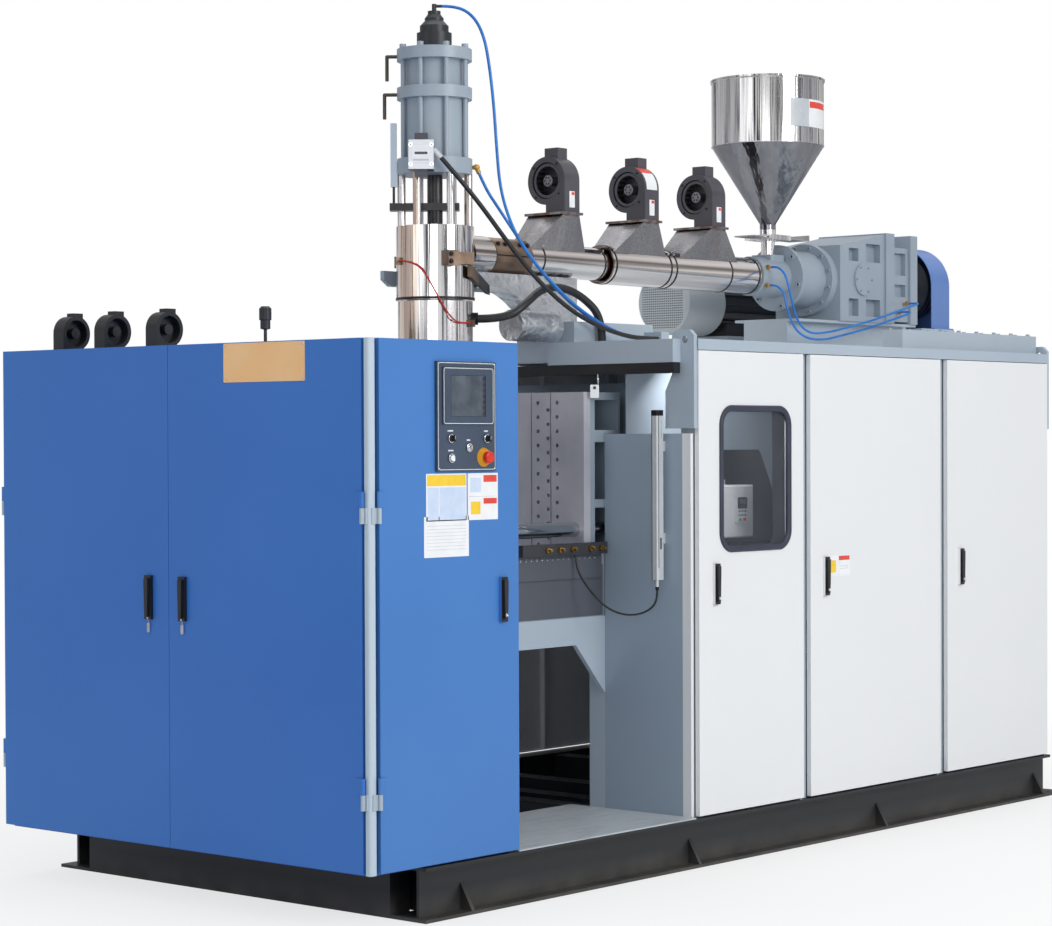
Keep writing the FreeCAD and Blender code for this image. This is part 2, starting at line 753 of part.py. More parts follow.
def water_manifold():
    """Mould cooling manifold on an apron plate in front of the girder, clear of the moving platen."""
    girder_face = line_y - platen_half
    x0, x1 = manifold_x
    z0, z1 = manifold_z
    back = girder_face - manifold_air
    pieces = [box(x0, x1, back - manifold_depth, back, z0, z1),
              box(x0, x1, back - manifold_apron, back, girder_top - 50, z0)]
    for x in (x0 + 20, x1 - 32):
        pieces.append(box(x, x + 12, back, girder_face, girder_top - 50, girder_top - 2))
    return fused(pieces)


def clamp_frame():
    """Girders that the platens slide on, and the end plates that the tie bars and cylinders hold."""
    pieces = []
    for side in (-1, 1):
        outer = line_y + side * platen_half
        inner = line_y + side * (platen_half - girder_width)
        pieces.append(box(head_x - end_plate_x - end_plate_thickness, end_outer,
                          min(outer, inner), max(outer, inner), bed_top, girder_top))
    plate = box(end_inner, end_outer, line_y - platen_half, line_y + platen_half, girder_top, end_plate_top)
    holes = [rod(clamp_body_r + seat, (end_inner - 1, line_y, clamp_z), (end_outer + 1, line_y, clamp_z)),
             rod(fast_body_r + seat, (end_inner - 1, line_y, fast_z), (end_outer + 1, line_y, fast_z))]
    for y, z in tie_places:
        holes.append(rod(tie_r + running, (end_inner - 1, y, z), (end_outer + 1, y, z)))
    plate = plate.cut(Part.makeCompound(holes))
    under = box(opening_end - 45, opening_end - 5, front_y + 70, half_width - 70, beam_top - 132,
                beam_top - 90)
    pieces += [plate, mirrored(plate, plane_x=head_x), under, water_manifold()]
    save("clamp_frame", pieces)


def tie_bars():
    """Chromed bars with a nut outside each end plate."""
    pieces = []
    x0 = head_x - end_plate_x - end_plate_thickness
    for y, z in tie_places:
        bar = rod(tie_r, (x0 - 45, y, z), (end_outer + 45, y, z))
        nuts = [rod(tie_r + 14, (x0 - 40, y, z), (x0, y, z)),
                rod(tie_r + 14, (end_outer, y, z), (end_outer + 40, y, z))]
        pieces.append(fused([bar] + nuts))
    save("tie_bars", pieces)


def clamp_cylinder():
    """Main clamp cylinder with its flange and gland, and the slim fast-travel cylinder above it."""
    flange_x = end_inner - 30
    cap = cylinder_end - cylinder_cap
    main = turned_x([
        (flange_x, clamp_rod_r + running), (flange_x, clamp_body_r + 30), (end_inner, clamp_body_r + 30),
        (end_inner, clamp_body_r), (cylinder_end, clamp_body_r), (cylinder_end, 0), (cap, 0),
        (cap, clamp_bore_r), (end_inner + gland, clamp_bore_r),
        (end_inner + gland, clamp_rod_r + running)], line_y, clamp_z)
    fast = turned_x([
        (flange_x, fast_rod_r + running), (flange_x, fast_body_r + 12), (end_inner, fast_body_r + 12),
        (end_inner, fast_body_r), (cylinder_end, fast_body_r), (cylinder_end, 0), (cap, 0),
        (cap, fast_rod_r + running)], line_y, fast_z)
    return [main, fast]


def save_clamp():
    right = mould_plate()
    save("mould_plate_right", right)
    save("mould_plate_left", [mirrored(s, plane_x=head_x) for s in right])
    right = platen_box()
    save("platen_box_right", right)
    save("platen_box_left", [mirrored(s, plane_x=head_x) for s in right])
    clamp_frame()
    tie_bars()
    right = clamp_cylinder()
    save("clamp_cylinders", right + [mirrored(s, plane_x=head_x) for s in right])


save_clamp()

# ---- light curtains, inverter, hydraulic unit ------------------------------------------------------
curtain_y = -812.0
curtain_z = (1109.0, 1766.0)
curtain_depth = 35.0
curtain_width = 36.0
curtain_standoff = 25.0
curtain_gland_r = 7.0
curtain_gland = 40.0
inverter_x = (-60.0, 150.0)
inverter_z = (1250.0, 1465.0)
inverter_face = -700.0
inverter_depth = 140.0
tank_x = (620.0, 1480.0)
tank_y = (-500.0, 300.0)
tank_top = 640.0
pump_r = 110.0


def curtain_bar():
    """Light curtain housing with chamfered front edges, end caps, two brackets and its plug."""
    xb = opening_end - curtain_standoff
    xf = xb - curtain_depth
    y0 = curtain_y - curtain_width / 2
    y1 = curtain_y + curtain_width / 2
    edge = 6.0
    z0, z1 = curtain_z
    outline = [(xf, y0 + edge, z0), (xf + edge, y0, z0), (xb, y0, z0), (xb, y1, z0), (xf + edge, y1, z0),
               (xf, y1 - edge, z0)]
    pieces = [prism(outline, Z * (z1 - z0))]
    for z in (z0 + 140, z1 - 160):
        pieces.append(box(xb, opening_end, curtain_y - 8, curtain_y + 8, z, z + 40))
    pieces.append(rod(curtain_gland_r, ((xb + xf) / 2, curtain_y, z0 - curtain_gland),
                      ((xb + xf) / 2, curtain_y, z0)))
    return fused(pieces)


def inverter():
    """Mounting wall behind the window, and the inverter with its keypad step and vent chin."""
    y_wall = inverter_face + inverter_depth
    wall_z = door_bottom + 602
    wall = box(post_xs[0] + post_size, tank_x[0] - 140, y_wall, y_wall + side_sheet, wall_z,
               door_top - 10)
    body = box(inverter_x[0], inverter_x[1], inverter_face, y_wall, inverter_z[0], inverter_z[1])
    front = [e for e in body.Edges if abs(e.CenterOfMass.y - inverter_face) < 0.01]
    body = body.makeFillet(8, front)
    middle = (inverter_x[0] + inverter_x[1]) / 2
    keypad = box(middle - 30, middle + 60, inverter_face - 8, inverter_face + 1, inverter_z[0] + 60,
                 inverter_z[1] - 60)
    feet = box(middle - 90, middle + 90, y_wall - 6, y_wall, inverter_z[0] - 20, inverter_z[1] + 20)
    rails = []
    for x in (post_xs[0] + post_size, tank_x[0] - 146):
        rails.append(box(x, x + 6, front_y + post_setback + 20, y_wall, wall_z, wall_z + 30))
    save("inverter", [wall, fused([body, keypad, feet])] + rails)


def hydraulic_unit():
    """Oil tank with an overhanging lid, and the flanged motor and pump lying on it."""
    tank = box(tank_x[0], tank_x[1], tank_y[0], tank_y[1], base_height, tank_top)
    lid = box(tank_x[0] - 15, tank_x[1] + 15, tank_y[0] - 15, tank_y[1] + 15, tank_top, tank_top + 12)
    top = tank_top + 12
    y = (tank_y[0] + tank_y[1]) / 2
    z = top + pump_r + 25
    x0 = tank_x[0] + 90
    motor = turned_x([(x0, 0), (x0, pump_r - 15), (x0 + 90, pump_r - 15), (x0 + 90, pump_r), (x0 + 380, pump_r),
                      (x0 + 380, pump_r + 20), (x0 + 400, pump_r + 20), (x0 + 400, 70), (x0 + 490, 70),
                      (x0 + 490, 55), (x0 + 620, 55), (x0 + 620, 0)], y, z)
    foot = box(x0 + 110, x0 + 360, y - 90, y + 90, top, z - pump_r + 30)
    save("hydraulic_unit", [tank, lid, fused([motor, foot])])


bar = curtain_bar()
save("light_curtains", [bar, mirrored(bar, plane_x=(opening_end + blue_end - 9) / 2)])
inverter()
hydraulic_unit()

# ---- extruder: bed, barrel, screw, covers, cooling ducts and blowers ----------------------------------
barrel_r = 55.0
bore_r = 32.5
melt_r = 15.0
head_body_r = 110.0
feed_x = 932.0             # barrel meets the feed housing
feed_r = 88.0
flange_x = 1355.0
flange_r = 165.0
gearbox_x = 1397.0
gearbox_half = 180.0
gearbox_bottom = barrel_z - 190.0
clamp_ring = (-860.0, -640.0)
clamp_ring_r = 75.0
cover_sheet = 2.0
covers = ((-630.0, -150.0, 68.0), (-135.0, 930.0, 81.0))
neck_r = 76.0
stand_half = 170.0
fork_half = 50.0
motor_y = 430.0
motor_stand = 100.0        # height of the motor's stand on the deck
motor_rise = 250.0
motor_z = beam_top + motor_rise
motor_r = 150.0
motor_x = (1000.0, 1290.0, 1790.0)
input_r = 30.0
motor_shaft_r = 24.0
pulley_x = (2190.0, 2290.0)
pulley_r = 150.0
small_pulley_r = 80.0
groove_depth = 12.0
belt_width = 16.0
belt_count = 3
guard_x = (2160.0, 2320.0)
guard_air = 40.0
guard_sheet = 3.0

nose_x = head_x + head_body_r + seat


def barrel():
    """Heated barrel with its nose and screw bore, and the split clamp round the adaptor."""
    tube = turned_x([
        (nose_x, melt_r), (nose_x, 40), (nose_x + 40, 40), (nose_x + 40, barrel_r), (feed_x, barrel_r),
        (feed_x, bore_r + running), (nose_x + 75, bore_r + running), (nose_x + 60, melt_r)],
        line_y, barrel_z)
    collar = ring(clamp_ring_r, barrel_r + seat, (clamp_ring[0], line_y, barrel_z),
                  (clamp_ring[1], line_y, barrel_z))
    split = box(clamp_ring[0] - 1, clamp_ring[1] + 1, line_y - 90, line_y + 90, barrel_z - 3, barrel_z + 3)
    save("barrel", [tube] + collar.cut(split).Solids)


def screw():
    """Plasticising screw: tapering core and the shank that runs into the gearbox."""
    core = turned_x([
        (nose_x + 80, 0), (nose_x + 110, 24), (nose_x + 700, 27), (feed_x - 400, 22), (feed_x - 2, 22),
        (feed_x + 3, bore_r), (gearbox_x + 90, bore_r), (gearbox_x + 90, 0)], line_y, barrel_z)
    save("screw", [core])


def cover_tube(x0, x1, radius):
    """Sheet tube round the barrel, closed at both ends down to the barrel."""
    inner = barrel_r + seat
    return turned_x([
        (x0, inner), (x0, radius), (x1, radius), (x1, inner), (x1 - cover_sheet, inner),
        (x1 - cover_sheet, radius - cover_sheet), (x0 + cover_sheet, radius - cover_sheet),
        (x0 + cover_sheet, inner)], line_y, barrel_z)


def barrel_covers():
    pieces = [cover_tube(x0, x1, r) for x0, x1, r in covers]
    pieces.append(cover_tube(head_x + 155, clamp_ring[0] - 4, neck_r))
    save("barrel_covers", pieces)


fan_faces = (-470.0, 58.0, 532.0)      # inlet face of each barrel blower
fan_depth = 95.0
fan_z = barrel_z + 326.0
fan_r = 98.0
fan_sheet = 3.0
inlet_r = 75.0
wheel_r = 71.0
outlet_width = 100.0
duct_top = barrel_z + 195.0
duct_flange = 10.0
duct_half_y = 105.0
duct_half_x = 62.0
duct_feet = ((-467.0, 187.0), (60.0, 195.0), (547.0, 228.0))
duct_sheet = 3.0
fan_shaft_r = 6.0
fan_boss_r = 32.0
fan_boss = 24.0


def hood_wire(x, half_x, half_y, z):
    corners = [V(x - half_x, line_y - half_y, z), V(x + half_x, line_y - half_y, z),
               V(x + half_x, line_y + half_y, z), V(x - half_x, line_y + half_y, z)]
    return Part.makePolygon(corners + [corners[0]])


def cooling_duct(foot, face, cover_radius):
    """Sheet hood lofted from a long foot on the cover to the blower's outlet flange."""
    foot_x, foot_half = foot
    top_x = face + fan_depth / 2
    z0 = barrel_z + 0.4 * cover_radius
    z1 = duct_top - duct_flange
    outer = Part.makeLoft([hood_wire(foot_x, foot_half, 0.75 * cover_radius, z0),
                           hood_wire(top_x, duct_half_x - 12, duct_half_y - 10, z1)], True, True)
    inner = Part.makeLoft([
        hood_wire(foot_x, foot_half - duct_sheet, 0.75 * cover_radius - duct_sheet, z0),
        hood_wire(top_x, duct_half_x - 12 - duct_sheet, duct_half_y - 10 - duct_sheet, z1)], True, True)
    plate = box(top_x - duct_half_x, top_x + duct_half_x, line_y - duct_half_y, line_y + duct_half_y,
                z1, duct_top)
    hood = outer.fuse(plate).cut(inner)
    mouth = box(face + 10, face + fan_depth - 10, line_y - fan_r + 8, line_y - fan_r + outlet_width - 8,
                z1 - 1, duct_top + 1)
    saddle = rod(cover_radius + seat, (foot_x - foot_half - 5, line_y, barrel_z),
                 (foot_x + foot_half + 5, line_y, barrel_z))
    return hood.cut(mouth).cut(saddle)


def scroll(face, depth, radius, drop_to, shrink):
    """Blower scroll: a drum with a straight outlet on its front side."""
    drum = rod(radius - shrink, (face, line_y, fan_z), (face + depth, line_y, fan_z))
    chute = box(face, face + depth, line_y - radius + shrink, line_y - radius + outlet_width - shrink,
                drop_to, fan_z)
    return drum.fuse(chute)


def blower_casing(face):
    """Scroll casing with its round inlet, open outlet, inner motor boss and shaft, and terminal box."""
    shell = scroll(face, fan_depth, fan_r, duct_top, 0)
    hollow = scroll(face + fan_sheet, fan_depth - 2 * fan_sheet, fan_r, duct_top - 1, fan_sheet)
    shell = shell.cut(hollow)
    shell = shell.cut(rod(inlet_r, (face - 1, line_y, fan_z), (face + fan_sheet + 1, line_y, fan_z)))
    back = face + fan_depth - fan_sheet
    boss = rod(fan_boss_r, (back - fan_boss, line_y, fan_z), (back + 1, line_y, fan_z))
    shaft = rod(fan_shaft_r, (face + 20, line_y, fan_z), (back, line_y, fan_z))
    terminal = box(face + 32, face + 92, line_y - 35, line_y + 35, fan_z + fan_r - 8, fan_z + fan_r + 38)
    return fused([shell, boss, shaft, terminal.cut(rod(fan_r - 1, (face, line_y, fan_z),
                                                       (face + fan_depth, line_y, fan_z)))])


def blower_wheel(face):
    """Drum wheel: curved vanes between a back disc and a front ring, bored for the motor shaft."""
    back = face + fan_depth - fan_sheet - fan_boss - 0.8
    front = face + fan_sheet + 3
    disc = rod(wheel_r, (back - 3, line_y, fan_z), (back, line_y, fan_z))
    hub = rod(14, (back - 30, line_y, fan_z), (back, line_y, fan_z))
    rim = ring(wheel_r, wheel_r - 12, (front, line_y, fan_z), (front + 4, line_y, fan_z))
    pieces = [disc, hub, rim]
    vanes = 18
    for i in range(vanes):
        a = 2 * math.pi * i / vanes
        b = a + 0.12
        points = []
        for radius, angle in ((wheel_r - 11, a), (wheel_r - 1, b), (wheel_r - 1, b + 0.035),
                              (wheel_r - 11, a + 0.035)):
            points.append((front, line_y + radius * math.cos(angle), fan_z + radius * math.sin(angle)))
        pieces.append(prism(points, X * (back - 1 - front)))
    wheel = fused(pieces)
    return wheel.cut(rod(fan_shaft_r + running, (back - 31, line_y, fan_z), (back + 1, line_y, fan_z)))


def save_blowers():
    radii = (covers[0][2], covers[1][2], covers[1][2])
    ducts = [cooling_duct(foot, face, r) for foot, face, r in zip(duct_feet, fan_faces, radii)]
    save("cooling_ducts", ducts)
    save("blower_casings", [blower_casing(face) for face in fan_faces])
    for i, face in enumerate(fan_faces):
        save("blower_wheel_%d" % (i + 1), [blower_wheel(face)])


barrel()
screw()
barrel_covers()
save_blowers()

# ---- roof blowers and beacon on the blue cabinet ---------------------------------------------------
roof_fan_x = -2200.0
roof_fan_ys = (769.0, 531.0, 241.0)
roof_fan_r = 65.0
roof_fan_depth = 60.0
roof_fan_rise = 72.0
beacon_y = -265.0
beacon_height = 138.0


def roof_blower(y):
    """Small black blower: a drum with a recessed inlet and hub, a foot and a terminal box."""
    z = roof_top + roof_fan_rise
    drum = rod(roof_fan_r, (roof_fan_x, y, z), (roof_fan_x, y + roof_fan_depth, z))
    foot = box(roof_fan_x - roof_fan_r, roof_fan_x + 20, y, y + roof_fan_depth, roof_top, z)
    base = box(roof_fan_x - roof_fan_r - 12, roof_fan_x + 32, y - 6, y + roof_fan_depth + 6, roof_top,
               roof_top + 5)
    terminal = box(roof_fan_x - 5, roof_fan_x + 40, y + 12, y + 52, z + roof_fan_r - 14,
                   z + roof_fan_r + 12)
    body = fused([drum, foot, base, terminal])
    body = body.cut(rod(roof_fan_r - 15, (roof_fan_x, y - 1, z), (roof_fan_x, y + 34, z)))
    hub = rod(20, (roof_fan_x, y + 6, z), (roof_fan_x, y + 35, z))
    return fused([body, hub])


def beacon():
    """Stack light: a foot, a stem and a lamp drum with a ribbed cap."""
    z = roof_top
    return turned_z([(0, z), (22, z), (22, z + 5), (6, z + 5), (6, z + 55), (18, z + 58), (18, z + 88),
                     (22, z + 90), (22, z + beacon_height - 8), (14, z + beacon_height),
                     (0, z + beacon_height)], roof_fan_x, beacon_y)


save("roof_fittings", [roof_blower(y) for y in roof_fan_ys] + [beacon()])

# ---- feed housing, hopper and slide gate ------------------------------------------------------------
hopper_x = 1082.0
hopper_r = 253.0
neck_bottom = barrel_z + 189.0
cone_bottom = neck_bottom + 48.0
cone_top = cone_bottom + 351.0
hopper_top = cone_top + 300.0
cone_end_r = 34.0
hopper_sheet = 3.0
throat_r = 27.0
feed_port_r = 7.0
feed_ports = ((962.0, -215.0, barrel_z + 37.0), (955.0, -212.0, barrel_z - 45.0))      # water ports for the hoses
flange_half = 75.0
flange_sheet = 8.0
gate_thickness = 6.0
gate_air = 0.2
gate_half = 55.0
gate_travel = 120.0
rail_width = 14.0


def feed_housing():
    """Turned housing between barrel and gearbox with its feed boss and water-cooled bore."""
    disc_x = hopper_x + 60
    turned = turned_x([
        (feed_x, bore_r + running), (feed_x, feed_r), (disc_x, feed_r), (disc_x, 150), (disc_x + 25, 150),
        (disc_x + 25, 118), (flange_x - 60, 130), (flange_x, 130), (flange_x, flange_r),
        (gearbox_x, flange_r), (gearbox_x, bore_r + running)], line_y, barrel_z)
    boss = box(hopper_x - 52, hopper_x + 52, line_y - 52, line_y + 52, barrel_z + 40, barrel_z + feed_r + 12)
    ports = [rod(feed_port_r, (x, line_y - feed_r + 22, z), (x, y, z)) for x, y, z in feed_ports]
    boss = boss.cut(rod(bore_r + 5, (feed_x, line_y, barrel_z), (disc_x, line_y, barrel_z)))
    body = fused([turned, boss] + ports)
    throat = rod(throat_r, (hopper_x, line_y, barrel_z), (hopper_x, line_y, barrel_z + feed_r + 20))
    save("feed_housing", [body.cut(throat)])


def hopper():
    """Spun hopper with a rolled rim, its gate flange with side rails, and the throat pipe below."""
    t = hopper_sheet
    bin_shell = turned_z([
        (hopper_r, cone_top), (hopper_r, hopper_top - 8), (hopper_r + 5, hopper_top - 8),
        (hopper_r + 5, hopper_top), (hopper_r - t, hopper_top), (hopper_r - t, cone_top),
        (cone_end_r - t, cone_bottom), (cone_end_r - t, neck_bottom), (cone_end_r, neck_bottom),
        (cone_end_r, cone_bottom)], hopper_x, line_y)
    slot = gate_thickness + 2 * gate_air
    flange = box(hopper_x - flange_half, hopper_x + flange_half, line_y - flange_half,
                 line_y + flange_half, neck_bottom - flange_sheet, neck_bottom)
    flange = flange.cut(rod(throat_r, (hopper_x, line_y, neck_bottom - flange_sheet - 1),
                            (hopper_x, line_y, neck_bottom + 1)))
    pieces = [bin_shell, flange]
    under = neck_bottom - flange_sheet
    for side in (-1, 1):
        edge = line_y + side * flange_half
        inner = line_y + side * (flange_half - rail_width)
        pieces.append(box(hopper_x - flange_half, hopper_x + flange_half, min(edge, inner),
                          max(edge, inner), under - slot, under))
        x = hopper_x + side * 51
        pieces.append(box(x - 3, x + 3, line_y - 6, line_y + 6, neck_bottom, cone_bottom + 24))
    top = fused(pieces)
    seat_z = under - slot
    plate = box(hopper_x - flange_half, hopper_x + flange_half, line_y - flange_half,
                line_y + flange_half, seat_z - flange_sheet, seat_z)
    pipe = rod(throat_r + 4, (hopper_x, line_y, barrel_z + feed_r + 12), (hopper_x, line_y, seat_z))
    throat = fused([plate, pipe]).cut(rod(throat_r, (hopper_x, line_y, barrel_z), (hopper_x, line_y, seat_z + 1)))
    save("hopper", [top, throat])
    return seat_z


def hopper_gate(seat_z):
    """Slide gate: a bored plate with a turned-down grip at its far end."""
    z0 = seat_z + gate_air
    x0 = hopper_x - throat_r - gate_travel - 34
    x1 = hopper_x + 250
    plate = box(x0, x1, line_y - gate_half, line_y + gate_half, z0, z0 + gate_thickness)
    grip = box(x1 - 6, x1, line_y - gate_half, line_y + gate_half, z0, z0 + 26)
    gate = fused([plate, grip]).cut(rod(throat_r, (hopper_x, line_y, z0 - 1),
                                        (hopper_x, line_y, z0 + gate_thickness + 1)))
    save("hopper_gate", [gate])


feed_housing()
hopper_gate(hopper())

# ---- gearbox, drive motor, pulleys, belts and guard -----------------------------------------------------
gearbox_rise = (barrel_z + 156.0, barrel_z + 224.0)   # top of the housing at the screw end and at the drive end
gearbox_end = 1765.0
side_pockets = ((70.0, 150.0), (212.0, 332.0))     # ribbed pockets, measured from the screw end
plate_end = 1836.0
rear_end = 1990.0
port_r = 7.0               # water ports, whose ends the hoses meet
gearbox_ports = ((1950.0, -305.0, barrel_z - 93.0), (1885.0, -305.0, barrel_z - 135.0))
far_plate_end = 2050.0


def gearbox():
    """Cast housing that rises towards the drive, with ribbed pockets, a round cover and end plates."""
    y0 = line_y - gearbox_half
    y1 = line_y + gearbox_half
    low, high = gearbox_rise
    body = prism([(gearbox_x, y0, gearbox_bottom), (gearbox_end, y0, gearbox_bottom),
                  (gearbox_end, y0, high), (gearbox_x, y0, low)], Y * (2 * gearbox_half))
    slope = (high - low) / (gearbox_end - gearbox_x)
    cuts = []
    for x0, x1 in side_pockets:
        top = low + slope * x0 - 22
        cuts.append(box(gearbox_x + x0, gearbox_x + x1, y0 - 1, y0 + 35, barrel_z + 88, top))
        cuts.append(box(gearbox_x + x0, gearbox_x + x1, y0 - 1, y0 + 35, gearbox_bottom + 25, barrel_z - 85))
    body = body.cut(Part.makeCompound(cuts))
    cover_x = (gearbox_x + gearbox_end) / 2
    cover = rod(73, (cover_x, y0 - 10, barrel_z + 5), (cover_x, y0 + 1, barrel_z + 5))
    plate = box(gearbox_end, plate_end, y0 - 10, y1 + 10, gearbox_bottom, high + 6)
    rear = box(plate_end, rear_end, y0 + 15, y1 - 15, gearbox_bottom + 10, high - 55)
    rear = rear.cut(box(plate_end + 22, rear_end - 22, y0 + 14, y0 + 40, barrel_z + 40, high - 80))
    rear = rear.cut(box(plate_end + 22, rear_end - 22, y0 + 14, y0 + 40, barrel_z - 62, barrel_z - 4))
    far = box(rear_end, far_plate_end, y0, y1, gearbox_bottom, high + 6)
    ports = [rod(port_r, (x, y0 + 25, z), (x, y, z)) for x, y, z in gearbox_ports]
    whole = fused([body, cover, plate, rear, far] + ports)
    whole = whole.cut(rod(bore_r + running, (gearbox_x - 1, line_y, barrel_z),
                          (gearbox_x + 100, line_y, barrel_z)))
    whole = whole.cut(rod(input_r + running, (far_plate_end - 120, line_y, barrel_z),
                          (far_plate_end + 1, line_y, barrel_z)))
    save("gearbox", [whole])


def drive_motor():
    """Finned motor with a larger fan cowl at its rear, standing on feet."""
    cowl_x, body_x, end = motor_x
    core = turned_x([(cowl_x, 0), (cowl_x, motor_r - 12), (cowl_x + 12, motor_r), (body_x, motor_r),
                     (body_x, motor_r - 24), (end - 30, motor_r - 24), (end - 30, motor_r - 4),
                     (end, motor_r - 4), (end, 0)], motor_y, motor_z)
    pieces = [core]
    fins = 20
    for i in range(fins):
        a = 360.0 * i / fins
        fin = box(body_x, end - 30, motor_y - 3, motor_y + 3, motor_z + motor_r - 40, motor_z + motor_r - 6)
        fin.rotate(V(0, motor_y, motor_z), X, a)
        pieces.append(fin)
    stand_top = beam_top + motor_stand
    foot = box(body_x + 60, end - 60, motor_y - 110, motor_y + 110, stand_top, motor_z - motor_r + 60)
    pieces.append(foot)
    body = fused(pieces)
    body = body.cut(rod(motor_shaft_r + running, (end - 120, motor_y, motor_z), (end + 1, motor_y, motor_z)))
    save("drive_motor", [body])


def grooved_pulley(radius, y, z, shaft_r, shaft_x):
    """Belt pulley with square grooves, turned in one with its shaft."""
    pitch = (pulley_x[1] - pulley_x[0]) / belt_count
    land = (pitch - belt_width - 2) / 2
    profile = [(shaft_x, 0), (shaft_x, shaft_r), (pulley_x[0], shaft_r), (pulley_x[0], radius)]
    for i in range(belt_count):
        x = pulley_x[0] + i * pitch
        profile += [(x + land, radius), (x + land, radius - groove_depth),
                    (x + pitch - land, radius - groove_depth), (x + pitch - land, radius)]
    profile += [(pulley_x[1], radius), (pulley_x[1], 0)]
    return turned_x(profile, y, z)


def belt_face(x, extra):
    """Open belt outline round both pulleys: two arcs and two tangent runs."""
    r1 = pulley_r - groove_depth + seat + extra
    r2 = small_pulley_r - groove_depth + seat + extra
    dy = motor_y - line_y
    dz = motor_z - barrel_z
    reach = math.hypot(dy, dz)
    lean = math.atan2(dz, dy)
    spread = math.acos((r1 - r2) / reach)

    def at(y, z, r, angle):
        return V(x, y + r * math.cos(angle), z + r * math.sin(angle))

    a, b = lean + spread, lean - spread
    big = Part.Arc(at(line_y, barrel_z, r1, a), at(line_y, barrel_z, r1, lean + math.pi),
                   at(line_y, barrel_z, r1, b))
    small = Part.Arc(at(motor_y, motor_z, r2, b), at(motor_y, motor_z, r2, lean),
                     at(motor_y, motor_z, r2, a))
    upper = Part.LineSegment(small.EndPoint, big.StartPoint)
    lower = Part.LineSegment(big.EndPoint, small.StartPoint)
    wire = Part.Wire([big.toShape(), lower.toShape(), small.toShape(), upper.toShape()])
    return Part.Face(wire)


def drive_belts():
    pitch = (pulley_x[1] - pulley_x[0]) / belt_count
    belts = []
    for i in range(belt_count):
        x = pulley_x[0] + i * pitch + (pitch - belt_width) / 2
        outer = belt_face(x, groove_depth).extrude(X * belt_width)
        inner = belt_face(x, 0).extrude(X * belt_width)
        belts.append(outer.cut(inner))
    save("drive_belts", belts)


def guard_outline(x, shrink):
    """Arch over the two pulleys, straight down both sides to the bracket plate."""
    r1 = pulley_r + guard_air - shrink
    r2 = small_pulley_r + guard_air + 30 - shrink
    base = guard_base + shrink
    y0 = line_y - r1
    y1 = motor_y + r2
    dy = motor_y - line_y
    dz = motor_z - barrel_z
    lean = math.atan2(dz, dy)
    spread = math.acos((r1 - r2) / math.hypot(dy, dz))
    a = lean + spread
    big = Part.Arc(V(x, y0, barrel_z),
                   V(x, line_y + r1 * math.cos((a + math.pi) / 2), barrel_z + r1 * math.sin((a + math.pi) / 2)),
                   V(x, line_y + r1 * math.cos(a), barrel_z + r1 * math.sin(a)))
    small = Part.Arc(V(x, motor_y + r2 * math.cos(a), motor_z + r2 * math.sin(a)),
                     V(x, motor_y + r2 * math.cos(a / 2), motor_z + r2 * math.sin(a / 2)),
                     V(x, y1, motor_z))
    edges = [Part.LineSegment(V(x, y0, base), V(x, y0, barrel_z)), big,
             Part.LineSegment(big.EndPoint, small.StartPoint), small,
             Part.LineSegment(V(x, y1, motor_z), V(x, y1, base)),
             Part.LineSegment(V(x, y1, base), V(x, y0, base))]
    return Part.Face(Part.Wire([e.toShape() for e in edges]))


def belt_guard():
    """Sheet guard open towards the pulleys, with a foot flange along its front."""
    depth = guard_x[1] - guard_x[0]
    shell = guard_outline(guard_x[0], 0).extrude(X * depth)
    hollow = guard_outline(guard_x[0] - 1, guard_sheet).extrude(X * (depth - guard_sheet + 1))
    foot = box(guard_x[0], guard_x[1] + 12, line_y - pulley_r - guard_air - 16,
               line_y - pulley_r - guard_air + 1, guard_base, guard_base + 6)
    save("belt_guard", [fused([shell.cut(hollow), foot])])


junction_x = (-215.0, -165.0)          # block on the deck where the hoses end
junction_y = (-505.0, -415.0)
junction_height = 50.0
lagging_r = 62.0
guard_base = beam_top + 138.0
gearbox()
drive_motor()
save("drive_pulley", [grooved_pulley(pulley_r, line_y, barrel_z, input_r, far_plate_end - 100)])
save("motor_pulley", [grooved_pulley(small_pulley_r, motor_y, motor_z, motor_shaft_r, motor_x[2] - 100)])
drive_belts()
belt_guard()


